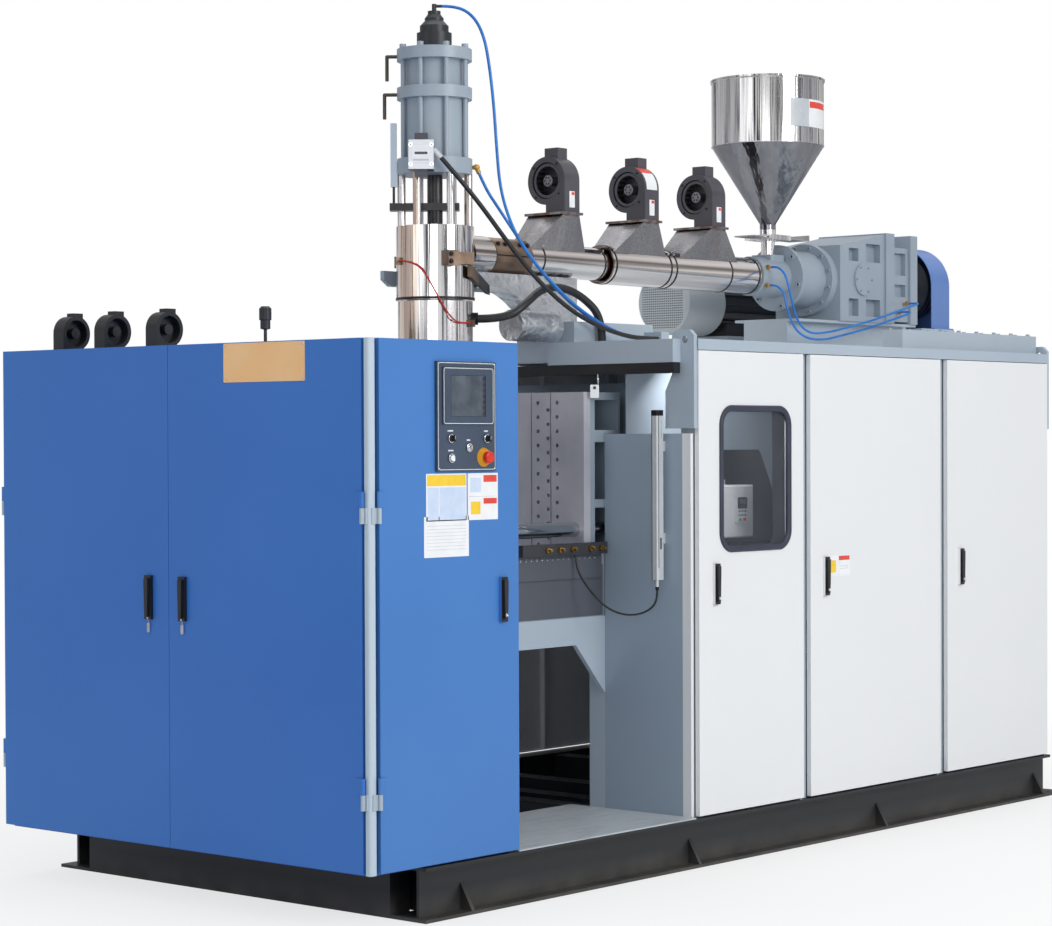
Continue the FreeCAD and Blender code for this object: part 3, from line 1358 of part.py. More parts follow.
def extruder_bed():
    """What carries the extruder on the deck: gearbox stand, front fork, motor stand and rails."""
    y0 = line_y - stand_half
    y1 = line_y + stand_half
    lip = 50.0
    sheet = 12.0
    x0 = hopper_x - 20
    stand = prism([
        (x0, y0, beam_top), (x0, y1, beam_top), (x0, y1, beam_top + sheet), (x0, y1 - lip, beam_top + sheet),
        (x0, y1 - lip, gearbox_bottom - sheet), (x0, y1, gearbox_bottom - sheet), (x0, y1, gearbox_bottom),
        (x0, y0, gearbox_bottom), (x0, y0, gearbox_bottom - sheet), (x0, y0 + lip, gearbox_bottom - sheet),
        (x0, y0 + lip, beam_top + sheet), (x0, y0, beam_top + sheet)], X * (far_plate_end - x0))
    fork_x0 = head_x + 155
    fork_x1 = -335.0
    fork_top = barrel_z - covers[0][2] - 1
    fork_foot = opening_end + 2
    y = line_y - fork_half
    arc_start = V(fork_foot, y, beam_top + 110)
    arc_end = V(fork_x0, y, fork_top - 70)
    arc_mid = V(fork_foot - 90, y, fork_top - 100)
    edges = [Part.LineSegment(V(fork_x0, y, fork_top), V(fork_x1, y, fork_top)),
             Part.LineSegment(V(fork_x1, y, fork_top), V(fork_x1, y, beam_top)),
             Part.LineSegment(V(fork_x1, y, beam_top), V(fork_foot, y, beam_top)),
             Part.LineSegment(V(fork_foot, y, beam_top), arc_start),
             Part.Arc(arc_start, arc_mid, arc_end),
             Part.LineSegment(arc_end, V(fork_x0, y, fork_top))]
    fork = Part.Face(Part.Wire([e.toShape() for e in edges])).extrude(Y * 2 * fork_half)
    fork = fork.cut(rod(neck_r + 1, (fork_x0 - 1, line_y, barrel_z), (covers[0][0] - 5, line_y, barrel_z)))
    arm_y = line_y + head_body_r + 70
    arm_low = fork_top - 60
    arm = prism([(head_x - 100, arm_y, arm_low + 25), (head_x - 100, arm_y, fork_top),
                 (fork_x1, arm_y, fork_top), (fork_x1, arm_y, arm_low), (head_x - 60, arm_y, arm_low)], Y * 20)
    brace = box(fork_x1 - 60, fork_x1, line_y + fork_half, arm_y, arm_low, fork_top)
    stand_under_motor = box(motor_x[1] + 40, motor_x[2] - 40, motor_y - 130, motor_y + 130, beam_top,
                            beam_top + motor_stand)
    step = box(opening_end + 2, -90, -362, -285, beam_top, beam_top + 85)
    lagging = rod(lagging_r, (-900, line_y - 180, beam_top + lagging_r),
                  (opening_end - 50, line_y - 180, beam_top + lagging_r))
    junction = box(junction_x[0], junction_x[1], junction_y[0], junction_y[1], beam_top,
                   beam_top + junction_height)
    rail = box(940, right_x - lug_thickness - 20, front_y + 50, front_y + 150, beam_top, beam_top + 82)
    bracket = box(far_plate_end, guard_x[1] + 14, line_y - pulley_r - guard_air - 20,
                  motor_y + small_pulley_r + guard_air + 40, guard_base - 18, guard_base)
    leg = box(far_plate_end, right_x - 30, line_y - 150, motor_y + 100, beam_top, guard_base - 18)
    save("extruder_bed", [stand, fused([fork, brace, arm]), stand_under_motor, step, lagging, junction, rail,
                          fused([bracket, leg])])


extruder_bed()

# ---- accumulator head ----------------------------------------------------------------------------------
head_base = barrel_z - 505.0
head_top = barrel_z + 95.0
head_flange_r = 149.0
cover_split = barrel_z - 190.0
cover_r = (146.0, 152.0)   # lower and upper cover
clamp_bearings = (-55.0, 130.0)
clamp_bottom = barrel_z - 62
clamp_height = 58.0
wing_inset = 6.0
strut_start = (-1138.0, -286.0)
strut_end = (-868.0, -148.0)
strut_half = 7.0
strut_rise = (40.0, 62.0, 100.0)       # depth at the block, then top and bottom at the fork
column_r = 16.0
column_circle = 130.0
column_top = head_top + 203.0
cylinder_levels = tuple(column_top + rise for rise in (0, 62.0, 292.0, 337.0, 442.0, 487.0))
cylinder_r = (118.0, 112.0)
cylinder_bore_r = 95.0
end_flange_r = 146.0
tie_rod_r = 9.0
tie_rods = 8
ram_r = 30.0
crosshead_z = (head_top + 65.0, head_top + 93.0)
crosshead_half = 35.0
crosshead_reach = (-175.0, 95.0)
view_angle = math.radians(-49.4)       # the crosshead lies along this bearing
scale_rod_r = 5.0
scale_reach = 160.0


ram_port = ((-1038.7, -236.8, column_top + 30.3), (-1028.0, -241.0, column_top + 7.0))      # elbow on the lower flange
valve_port = ((-1268.6, -224.3, column_top + 82.0), (-1250.7, -245.2, column_top + 50.7))    # gland on the valve block
conduit_z = barrel_z - 260.0
wire_blocks = ((-152.0, barrel_z - 40.0, cover_r[1]), (-22.0, barrel_z - 280.0, cover_r[0]))


def polar(radius, degrees, z):
    """Point round the head's axis, the bearing counted from the crosshead's line."""
    angle = view_angle + math.radians(degrees)
    return (head_x + radius * math.cos(angle), line_y + radius * math.sin(angle), z)


def head_strut():
    """Flat strut from under the front clamp block back to the side of the fork."""
    start = V(*strut_start, 0)
    along = V(*strut_end, 0) - start
    run = along.Length
    along.normalize()
    across = V(along.y, -along.x, 0) * strut_half
    rise = strut_rise
    near = start - across + Z * clamp_bottom
    far = near + along * run
    outline = [near + Z * (wing_inset + 1), near - Z * rise[0], far - Z * rise[2], far - Z * rise[1]]
    bar = prism([tuple(p) for p in outline], across * 2)
    fork_side = line_y - fork_half - seat
    beyond = box(head_x, head_x + 600, fork_side, fork_side + 200, clamp_bottom - 400, clamp_bottom + 10)
    return bar.cut(beyond)


def head_body():
    """Die head: body with its flange, tapered die and ring gap, clamp blocks and their strut."""
    body = turned_z([
        (0, head_base + 6), (34, head_base + 6), (34, head_base + 40), (40, head_base + 40),
        (40, head_base), (62, head_base), (62, head_base + 30), (head_body_r, head_base + 90),
        (head_body_r, head_top - 40), (head_flange_r, head_top - 40), (head_flange_r, head_top),
        (0, head_top)], head_x, line_y)
    body = body.cut(rod(ram_r + running, (head_x, line_y, head_top - 240), (head_x, line_y, head_top + 1)))
    side = head_x + head_body_r - 60
    body = body.cut(rod(40 + seat, (side, line_y, barrel_z), (head_x + head_body_r + 1, line_y, barrel_z)))
    inlet = ring(40 + seat, melt_r, (side, line_y, barrel_z), (nose_x - seat, line_y, barrel_z))
    body = fused([body, inlet])
    cover = rod(cover_r[1] + seat, (head_x, line_y, cover_split), (head_x, line_y, head_top))
    clamps = []
    for bearing in clamp_bearings:
        block = box(cover_r[1] - 30, cover_r[1] + 38, -62, -14, 0, clamp_height)
        wing = box(cover_r[1] - 30, cover_r[1] + 30, -15, 62, wing_inset,
                   clamp_height - wing_inset)
        bolt_x = cover_r[1] + 19
        piece = block.fuse(wing).cut(rod(9, (bolt_x, -38, -1), (bolt_x, -38, clamp_height + 1)))
        piece.rotate(V(0, 0, 0), Z, math.degrees(view_angle) + bearing)
        piece.translate(V(head_x, line_y, clamp_bottom))
        clamps.append(piece.cut(cover).removeSplitter())
    clamps[0] = clamps[0].fuse(head_strut().cut(cover)).removeSplitter()
    return [body] + clamps


def head_cover():
    """Two polished covers round the head, each closed by rings, with the barrel's opening."""
    t = cover_sheet
    low = turned_z([
        (head_body_r + seat, head_base + 95), (cover_r[0], head_base + 95), (cover_r[0], cover_split - 4),
        (head_body_r + seat, cover_split - 4), (head_body_r + seat, cover_split - 4 - t),
        (cover_r[0] - t, cover_split - 4 - t), (cover_r[0] - t, head_base + 95 + t),
        (head_body_r + seat, head_base + 95 + t)], head_x, line_y)
    high = turned_z([
        (head_body_r + seat, cover_split), (cover_r[1], cover_split), (cover_r[1], head_top + 2),
        (head_flange_r + seat, head_top + 2), (head_flange_r + seat, cover_split + t),
        (head_body_r + seat, cover_split + t)], head_x, line_y)
    opening = rod(barrel_r + 5, (head_x, line_y, barrel_z), (head_x + cover_r[1] + 5, line_y, barrel_z))
    save("head_cover", [low, high.cut(opening)])


def accumulator_cylinder():
    """Two-stage cylinder: three flanges, two bored tubes, and tie rods with nuts between them."""
    z0, z1, z2, z3, z4, z5 = cylinder_levels
    axis = (head_x, line_y)
    low = ring(end_flange_r, ram_r + running, axis + (z0,), axis + (z1,))
    main = ring(cylinder_r[0], cylinder_bore_r, axis + (z1,), axis + (z2,))
    middle = ring(end_flange_r, cylinder_bore_r, axis + (z2,), axis + (z3,))
    upper = ring(cylinder_r[1], cylinder_bore_r, axis + (z3,), axis + (z4,))
    top = rod(end_flange_r, axis + (z4,), axis + (z5,))
    pieces = [low, main, middle, upper, top]
    for i in range(tie_rods):
        bearing = (i + 0.5) * 360.0 / tie_rods
        for a, b in ((z1, z2), (z3, z4)):
            pieces.append(rod(tie_rod_r, polar(column_circle, bearing, a), polar(column_circle, bearing, b)))
        nut = rod(tie_rod_r + 4, polar(column_circle, bearing, z5), polar(column_circle, bearing, z5 + 16))
        pieces.append(nut)
    save("accumulator_cylinder", pieces)


def head_columns():
    pieces = []
    for i in range(6):
        foot = polar(column_circle, 60 * i, head_top)
        pieces.append(rod(column_r, foot, polar(column_circle, 60 * i, column_top)))
    save("head_columns", pieces)


def crosshead():
    """Crosshead on the ram, guided by one column, carrying the position scale's rod."""
    z0, z1 = crosshead_z
    bar = box(crosshead_reach[0], crosshead_reach[1], -crosshead_half, crosshead_half, z0, z1)
    bar.rotate(V(0, 0, 0), Z, math.degrees(view_angle))
    bar.translate(V(head_x, line_y, 0))
    cuts = [rod(column_r + running, polar(column_circle, 180, z0 - 1), polar(column_circle, 180, z1 + 1))]
    for bearing in (120, 240, 60, 300):
        low = polar(column_circle, bearing, z0 - 1)
        cuts.append(rod(column_r + 3, low, polar(column_circle, bearing, z1 + 1)))
    bar = bar.cut(Part.makeCompound(cuts))
    z_main = cylinder_levels[1]
    ram = turned_z([(0, head_top - 180), (ram_r, head_top - 180), (ram_r, z_main + 60),
                    (cylinder_bore_r - running, z_main + 60), (cylinder_bore_r - running, z_main + 100),
                    (0, z_main + 100)], head_x, line_y)
    scale = rod(scale_rod_r, polar(scale_reach, 180, z0), polar(scale_reach, 180, column_top + 80))
    whole = bar.fuse([ram, scale]).removeSplitter()
    save("crosshead", [whole])


def stub(start, end, radius):
    """Short round fitting whose free end is where a hose begins."""
    return rod(radius, start, end)


def head_fittings():
    """Position scale, proportional valve block, hose fittings and pressure elbows on the cylinder."""
    z0, z1, z2, z3, z4, z5 = cylinder_levels
    tube = box(-scale_reach - 12, -scale_reach + 12, -12, 12, z0 - 45, z2 - 90)
    lug_low = box(-scale_reach + 12, -end_flange_r + 2, -8, 8, z0 + 10, z1 - 10)
    scale = tube.fuse(lug_low)
    scale.rotate(V(0, 0, 0), Z, math.degrees(view_angle))
    scale.translate(V(head_x, line_y, 0))
    low = polar(scale_reach, 180, z0 - 50)
    scale = scale.cut(rod(scale_rod_r + running, low, polar(scale_reach, 180, z2 - 100)))
    flange = rod(end_flange_r + seat, (head_x, line_y, z0), (head_x, line_y, z1))
    scale = scale.cut(flange).removeSplitter()
    block = box(-93, 3, -end_flange_r - 62, -end_flange_r + 10, z0 + 2, z1 + 55)
    caps = [box(-70, -20, -end_flange_r - 52, -end_flange_r - 12, z, z + 26) for z in (z0 - 24, z1 + 55)]
    valve = fused([block] + caps)
    valve.rotate(V(0, 0, 0), Z, math.degrees(view_angle))
    valve.translate(V(head_x, line_y, 0))
    column = rod(cylinder_r[0] + 30, (head_x, line_y, z1), (head_x, line_y, z2))
    valve = valve.cut(flange).cut(column).removeSplitter()
    valve = valve.fuse(stub(valve_port[0], valve_port[1], 12)).removeSplitter()
    elbow = Part.makeSphere(13, V(*ram_port[0])).fuse(stub(ram_port[0], ram_port[1], 9))
    elbow = elbow.fuse(rod(8, polar(end_flange_r - 2, 0, ram_port[0][2]), ram_port[0])).cut(flange)
    conduit_gland = rod(24, polar(cover_r[0] - 6, 0, conduit_z), polar(cover_r[0] + 20, 0, conduit_z))
    cover = rod(cover_r[0] + seat, (head_x, line_y, conduit_z - 40), (head_x, line_y, conduit_z + 40))
    pieces = [scale, valve, elbow.removeSplitter(), conduit_gland.cut(cover)]
    for bearing, z, radius in wire_blocks:
        block = box(radius - 6, radius + 18, -10, 10, z - 14, z + 14)
        block.rotate(V(0, 0, 0), Z, math.degrees(view_angle) + bearing)
        block.translate(V(head_x, line_y, 0))
        pieces.append(block.cut(rod(radius + seat, (head_x, line_y, z - 20), (head_x, line_y, z + 20))))
    for z, reach in ((z4 + 20, 185), (z2 + 22, 195)):
        start = V(*polar(end_flange_r - 2, 178, z))
        turn = V(*polar(reach, 178, z))
        down = turn - Z * 95
        pieces.append(fused([rod(7, tuple(start), tuple(turn)), Part.makeSphere(7, turn),
                             rod(7, tuple(turn), tuple(down))]).cut(
            rod(end_flange_r + seat, (head_x, line_y, z - 30), (head_x, line_y, z + 20))))
    save("head_fittings", pieces)


def head_actuator():
    """Core-adjusting actuator on the top flange, stepped like a turned cone."""
    z = cylinder_levels[-1]
    drum = turned_z([(0, z), (68, z), (68, z + 64), (56, z + 66), (56, z + 92), (37, z + 112), (37, z + 122),
                     (25, z + 138), (25, z + 150), (9, z + 152), (9, z + 178), (0, z + 178)], head_x, line_y)
    spout = rod(6, (head_x, line_y, z + 170), polar(30, 0, z + 170))
    save("head_actuator", [fused([drum, spout])])


save("head_body", head_body())
head_cover()
accumulator_cylinder()
head_columns()
crosshead()
head_fittings()
head_actuator()

# ---- free hoses and cables ------------------------------------------------------------------------
hose_r = 6.0
water_hose_r = 5.0
lead_r = 9.0
conduit_r = 16.0
cable_r = 4.0
wire_r = 3.0

air_hose_route = [
    (-1120.5, -132.8, 3340), (-1081, -178.8, 3340), (-1045, -232, 3300), (-1018, -262, 3220),
    (-1003, -276, 3100), (-995, -290, 2950), (-994, -302, 2790), (-984, -310, 2632),
    (-943, -325, 2502), (-875, -344, 2392), (-776, -372, 2290), (-655, -403, 2190),
    (-518, -430, 2117), (-395, -447, 2075), (-295, -455, 2062), (-215, -455, 2062)]
drain_hose_route = [
    (-1028, -241, 2690), (-1000, -252, 2629), (-957, -272, 2565), (-905, -306, 2475),
    (-842, -335, 2382), (-760, -358, 2287), (-650, -388, 2192), (-515, -412, 2117),
    (-392, -428, 2075), (-295, -435, 2062), (-215, -435, 2062)]
valve_lead_route = [
    (-1250.7, -245.2, 2733.7), (-1215, -287, 2671), (-1130, -335, 2560), (-985, -365, 2402),
    (-865, -398, 2275), (-720, -438, 2165), (-560, -466, 2098), (-400, -482, 2066),
    (-290, -485, 2062), (-215, -485, 2062)]
conduit_route = [
    (-1031.9, -236.1, 2125), (-957, -323.4, 2125), (-870, -350, 2190), (-765, -335, 2250),
    (-645, -335, 2262), (-535, -352, 2228), (-450, -386, 2145), (-450, -386, 2040)]
water_hose_routes = ([
    feed_ports[0], (962, -241, 2422), (963, -268, 2409), (965, -290, 2383), (970, -305, 2327),
    (982, -314, 2258), (1004, -322, 2190), (1043, -328, 2146), (1108, -334, 2125), (1220, -341, 2134),
    (1345, -349, 2156), (1475, -358, 2182), (1605, -368, 2211), (1730, -378, 2243), (1843.6, -383.4, 2272),
    (1903.6, -383.4, 2284), (1933, -366.4, 2290), (1950, -337, 2292), gearbox_ports[0]], [
    feed_ports[1], (955, -238, 2340), (955, -265.2, 2327.3), (956, -287, 2301), (958, -298, 2253),
    (968, -306, 2205), (990, -312, 2160), (1035, -318, 2122), (1100, -325, 2101), (1205, -331, 2100),
    (1325, -338, 2121), (1450, -347, 2145), (1570, -358, 2171), (1680, -371, 2199), (1780, -383, 2226),
    (1838.6, -383.4, 2240), (1868, -366.4, 2247), (1885, -337, 2250), gearbox_ports[1]])
curtain_cable_route = [
    (-642.5, -812, 1069), (-642.5, -812, 1035), (-648, -793, 1000), (-672, -752, 974),
    (-715, -702, 972), (-758, -652, 1000), (-785, -605, 1055), (-796, -560, 1112),
    (-799, -536, 1160), (-799, -530, 1205)]


def route_radii(route):
    """Bend radius at each inner point: 0.45 of the shorter run over the tangent of half the turn."""
    points = [V(*p) for p in route]
    radii = []
    for a, b, c in zip(points, points[1:], points[2:]):
        before, after = b - a, c - b
        turn = before.getAngle(after)
        radii.append(0.45 * min(before.Length, after.Length) / math.tan(turn / 2))
    return radii


def tube_along(name, route, radius):
    """Soft tube of straight runs and tangent arcs along the route."""
    points = [V(*p) for p in route]
    radii = route_radii(route)
    edges = []
    last = points[0]
    for a, b, c, bend in zip(points, points[1:], points[2:], radii):
        before, after = b - a, c - b
        before.normalize()
        after.normalize()
        half = before.getAngle(after) / 2
        setback = bend * math.tan(half)
        start = b - before * setback
        end = b + after * setback
        inward = after - before
        inward.normalize()
        middle = b + inward * (bend / math.cos(half) - bend)
        edges.append(Part.LineSegment(last, start).toShape())
        edges.append(Part.Arc(start, middle, end).toShape())
        last = end
    edges.append(Part.LineSegment(last, points[-1]).toShape())
    spine = Part.Wire(edges)
    section = Part.Wire([Part.makeCircle(radius, points[0], points[1] - points[0])])
    tube = spine.makePipeShell([section], True, False)
    length = spine.Length
    print(name, "length %.0f" % length, "tightest bend %.0f" % min(radii),
          "volume ratio %.4f" % (tube.Volume / (math.pi * radius ** 2 * length)))
    return tube


def wire_route():
    """Heater wires laid round the front of the head cover, from the upper block to the lower one."""
    (first, z0, r0), (last, z1, r1) = wire_blocks
    steps = 7
    clear = r0 + 10

    def beside(bearing, radius, sideways, z):
        a = view_angle + math.radians(bearing)
        return (head_x + radius * math.cos(a) - sideways * math.sin(a),
                line_y + radius * math.sin(a) + sideways * math.cos(a), z)

    points = [beside(first, r0 + 9, 10, z0), beside(first, r0 + 9, 40, z0)]
    start, end = first + 32, last - 32
    for i in range(steps):
        share = i / (steps - 1)
        drop = (1 - math.cos(math.pi * share)) / 2
        points.append(polar(clear, start + (end - start) * share, z0 - 12 + (z1 + 12 - z0) * drop))
    points += [beside(last, r1 + 9, -40, z1), beside(last, r1 + 9, -10, z1)]
    return points


def save_cords():
    save("air_hoses", [tube_along("air hose", air_hose_route, hose_r),
                       tube_along("drain hose", drain_hose_route, hose_r)] +
         [tube_along("water hose", route, water_hose_r) for route in water_hose_routes])
    save("cables", [tube_along("valve lead", valve_lead_route, lead_r),
                    tube_along("conduit", conduit_route, conduit_r),
                    tube_along("curtain cable", curtain_cable_route, cable_r),
                    tube_along("heater wires", wire_route(), wire_r)])


save_cords()
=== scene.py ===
import math

import bmesh
import bpy
import numpy as np
from mathutils import Matrix, Vector


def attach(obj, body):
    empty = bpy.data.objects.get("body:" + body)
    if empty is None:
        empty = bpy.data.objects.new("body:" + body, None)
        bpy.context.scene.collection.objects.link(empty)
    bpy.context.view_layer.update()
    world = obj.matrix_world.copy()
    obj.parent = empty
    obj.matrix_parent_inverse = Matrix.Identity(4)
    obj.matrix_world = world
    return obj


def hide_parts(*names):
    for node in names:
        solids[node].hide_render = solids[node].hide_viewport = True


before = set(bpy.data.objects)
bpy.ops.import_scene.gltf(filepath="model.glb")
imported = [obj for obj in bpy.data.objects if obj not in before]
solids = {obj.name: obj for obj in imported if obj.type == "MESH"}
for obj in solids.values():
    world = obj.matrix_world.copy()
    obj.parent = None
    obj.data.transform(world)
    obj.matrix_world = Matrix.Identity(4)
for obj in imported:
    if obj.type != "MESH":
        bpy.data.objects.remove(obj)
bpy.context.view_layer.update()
mm = 0.001


# The photographer's place: a long lens at eye height, nearly nine metres from the corner post.
def add_object(name, data):
    """Puts camera, lamp, curve or mesh data into the scene as an object at the origin."""
    made = bpy.data.objects.new(name, data)
    bpy.context.collection.objects.link(made)
    return made


def aim(heading, tilt, roll):
    """Turns a camera: heading from +X, tilt above the horizon, then a roll about the line of sight."""
    ahead = Vector((math.cos(heading) * math.cos(tilt), math.sin(heading) * math.cos(tilt), math.sin(tilt)))
    level = Vector((math.sin(heading), -math.cos(heading), 0))
    upright = level.cross(ahead)
    right = level * math.cos(roll) + upright * math.sin(roll)
    up = upright * math.cos(roll) - level * math.sin(roll)
    return Matrix((right, up, -ahead)).transposed()


lens = bpy.data.cameras.new("photo_lens")
lens.sensor_width = 36.0
lens.lens = 90.78
lens.shift_x = -0.00436
lens.shift_y = 0.01769
lens.clip_end = 200.0
camera = add_object("photo_camera", lens)
camera.matrix_world = Matrix.LocRotScale(Vector((-8.750, -7.122, 1.6455)),
                                         aim(0.70893, -0.015037, -0.00364).to_quaternion(), None)
bpy.context.scene.camera = camera
bpy.context.scene.view_settings.view_transform = "Standard"


# Studio: a pale floor that keeps the machine's shadow, white daylight all round, four large soft
# lamps and two small ones inside the machine. Dark flags all round it show only in reflections,
# as streaks in the polished sheet.
def linear(colour):
    """sRGB hex to linear: each channel above 0.04045 is ((c + 0.055) / 1.055) to the power 2.4."""
    channels = [int(colour[i:i + 2], 16) / 255 for i in (1, 3, 5)]
    return tuple(c / 12.92 if c <= 0.04045 else ((c + 0.055) / 1.055) ** 2.4 for c in channels) + (1.0,)


def add_node(tree, kind, inputs=None, **settings):
    """Adds one shader node: a socket or a node's first output is linked, any other input is set."""
    made = tree.nodes.new("ShaderNode" + kind)
    for key, value in settings.items():
        setattr(made, key, value)
    for key, value in (inputs or {}).items():
        if isinstance(value, bpy.types.Node):
            value = value.outputs[0]
        if isinstance(value, bpy.types.NodeSocket):
            tree.links.new(value, made.inputs[key])
        else:
            made.inputs[key].default_value = value
    return made


def grid_mesh(name, points, closed_u=False, closed_v=False):
    """Surfaces through grids of points in mm: rows along u, columns along v, quads between them."""
    rows, columns = points.shape[-3:-1]
    u, v = np.meshgrid(np.arange(rows - (not closed_u)), np.arange(columns - (not closed_v)), indexing="ij")
    u1, v1 = (u + 1) % rows, (v + 1) % columns
    faces = np.stack([u * columns + v, u1 * columns + v, u1 * columns + v1, u * columns + v1], -1)
    copies = points.reshape(-1, rows * columns, 3)
    shift = np.arange(len(copies))[:, None, None] * rows * columns
    faces = (faces.reshape(-1, 4) + shift).reshape(-1, 4)
    mesh = bpy.data.meshes.new(name)
    mesh.from_pydata((copies.reshape(-1, 3) * mm).tolist(), [], faces.tolist())
    mesh.update()
    return mesh


def place(name, mesh, material, body=None, smooth=True):
    """Makes an object of a mesh, with its finish, riding on a body."""
    made = add_object(name, mesh)
    mesh.materials.append(material)
    mesh.polygons.foreach_set("use_smooth", np.full(len(mesh.polygons), smooth))
    if body:
        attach(made, body)
    return made


def cleared(owner):
    """Empties the node tree of a material or world and returns it."""
    owner.use_nodes = True
    owner.node_tree.nodes.clear()
    return owner.node_tree


def backdrop_finish(name, colour, strength_near, strength_far):
    """Matt paint that lenses and glass see as white: white light takes over with distance."""
    material = bpy.data.materials.new(name)
    tree = cleared(material)
    ray = add_node(tree, "LightPath")
    spot = add_node(tree, "TexCoord").outputs["Object"]
    matt = add_node(tree, "BsdfDiffuse", {"Color": linear(colour)})
    white = add_node(tree, "Emission", {"Color": (1, 1, 1, 1), "Strength": 1.0})
    away = add_node(tree, "VectorMath", {0: spot}, operation="LENGTH")
    fade = add_node(tree, "MapRange", {"Value": away.outputs["Value"], "From Min": 2.0, "From Max": 5.0,
                                       "To Min": strength_near, "To Max": strength_far})
    lens_ray = add_node(tree, "Math", {0: ray.outputs["Is Camera Ray"],
                                       1: ray.outputs["Is Transmission Ray"]}, operation="MAXIMUM")
    share = add_node(tree, "Math", {0: lens_ray, 1: fade}, operation="MULTIPLY")
    mixed = add_node(tree, "MixShader", {0: share, 1: matt, 2: white})
    add_node(tree, "OutputMaterial", {"Surface": mixed})
    return material


floor_reach = np.linspace(-40000, 40000, 9)
floor_x, floor_y = np.meshgrid(floor_reach, floor_reach, indexing="ij")
floor = place("studio_floor", grid_mesh("studio_floor", np.stack([floor_x, floor_y, floor_x * 0 - 1], -1)),
              backdrop_finish("studio_floor", "#E4E5E6", 0.7, 1.0))

world = bpy.data.worlds.new("studio_daylight")
bpy.context.scene.world = world
tree = cleared(world)
ray = add_node(tree, "LightPath")
height = add_node(tree, "SeparateXYZ", {0: add_node(tree, "TexCoord").outputs["Generated"]})
sky = add_node(tree, "MapRange", {"Value": height.outputs["Z"], "From Min": -0.2, "From Max": 0.7,
                                  "To Min": 0.30, "To Max": 0.66})
soft = add_node(tree, "Background", {"Color": (0.95, 0.97, 1.0, 1.0), "Strength": sky})
plain = add_node(tree, "Background", {"Color": (1, 1, 1, 1), "Strength": 1.0})
bands = add_node(tree, "Math", {0: height.outputs["Z"], 1: 13.0}, operation="MULTIPLY")
bands = add_node(tree, "Math", {0: bands}, operation="COSINE")
lit = add_node(tree, "MapRange", {"Value": bands, "From Min": -1.0,
                                  "To Min": 0.22, "To Max": 0.9})
hall = add_node(tree, "Background", {"Color": (0.98, 0.98, 1.0, 1.0), "Strength": lit})
through = add_node(tree, "Math", {0: ray.outputs["Is Camera Ray"], 1: ray.outputs["Is Transmission Ray"]},
                   operation="MAXIMUM")
mixed = add_node(tree, "MixShader", {0: ray.outputs["Is Glossy Ray"], 1: soft,
                                     2: hall})
mixed = add_node(tree, "MixShader", {0: through, 1: mixed, 2: plain})
add_node(tree, "OutputWorld", {"Surface": mixed})


def soft_box(name, power, size, spot, towards):
    """Square lamp of that size in metres at a spot, turned towards a point."""
    lamp = bpy.data.lights.new(name, "AREA")
    lamp.energy = power
    lamp.size = size
    made = add_object(name, lamp)
    turn = (Vector(towards) - Vector(spot)).to_track_quat("-Z", "Y")
    made.matrix_world = Matrix.LocRotScale(Vector(spot), turn, None)
    made.visible_camera = False


soft_box("key_lamp", 370, 4.0, (-1.0, -9.0, 5.0), (0, 0, 1.3))
soft_box("side_lamp", 42, 4.0, (-9.5, 1.5, 4.5), (-1.5, 0, 1.3))
soft_box("front_lamp", 75, 3.0, (-10.0, -7.0, 3.0), (-0.8, 0, 1.5))
soft_box("top_lamp", 150, 5.0, (1.0, 1.0, 8.0), (0, 0, 2.0))
soft_box("cabinet_lamp", 1.8, 0.25, (-0.25, -0.76, 1.92), (0.15, -0.58, 1.35))
soft_box("clamp_bay_lamp", 4, 0.5, (-1.15, 0.3, 1.93), (-1.0, 0.7, 1.3))

flag_paint = bpy.data.materials.new("flag_cloth")
tree = cleared(flag_paint)
cloth = add_node(tree, "BsdfDiffuse", {"Color": linear("#24262B")})
add_node(tree, "OutputMaterial", {"Surface": cloth})
flag_reach = 12500
flag_bearings = np.radians([152, 176, 199, 226, 247, 262, 291, 318, 345, 20, 75, 118])[:, None]
flag_widths = np.array([900, 500, 1500, 700, 1900, 500, 1300, 600, 1600, 1200, 1500, 900])
flag_half = flag_widths[:, None] * np.array([-1, 1]) / 2
flag_foot, flag_head = 200, 7500
flag_x = flag_reach * np.cos(flag_bearings) - flag_half * np.sin(flag_bearings)
flag_y = flag_reach * np.sin(flag_bearings) + flag_half * np.cos(flag_bearings)
flag_grid = np.stack([np.stack([flag_x, flag_y, flag_x * 0 + z], -1) for z in (flag_foot, flag_head)], 1)
flags = place("studio_flags", grid_mesh("studio_flags", flag_grid), flag_paint)
flags.visible_camera = False
flags.visible_diffuse = False
flags.visible_transmission = False
flags.visible_shadow = False


# Air hoses: blue polyurethane tube, extruded, from the actuator and the head down to the deck.
# It is glossy and a little uneven in colour, as soft plastic is.
def new_finish(name, colour, roughness, metallic=0.0, ior=1.5):
    """Starts a material and returns it with its node tree, its surface shader and object position."""
    material = bpy.data.materials.new(name)
    tree = cleared(material)
    surface = add_node(tree, "BsdfPrincipled", {"Base Color": linear(colour), "Roughness": roughness,
                                                "Metallic": metallic, "IOR": ior})
    add_node(tree, "OutputMaterial", {"Surface": surface})
    return material, tree, surface, add_node(tree, "TexCoord").outputs["Object"]


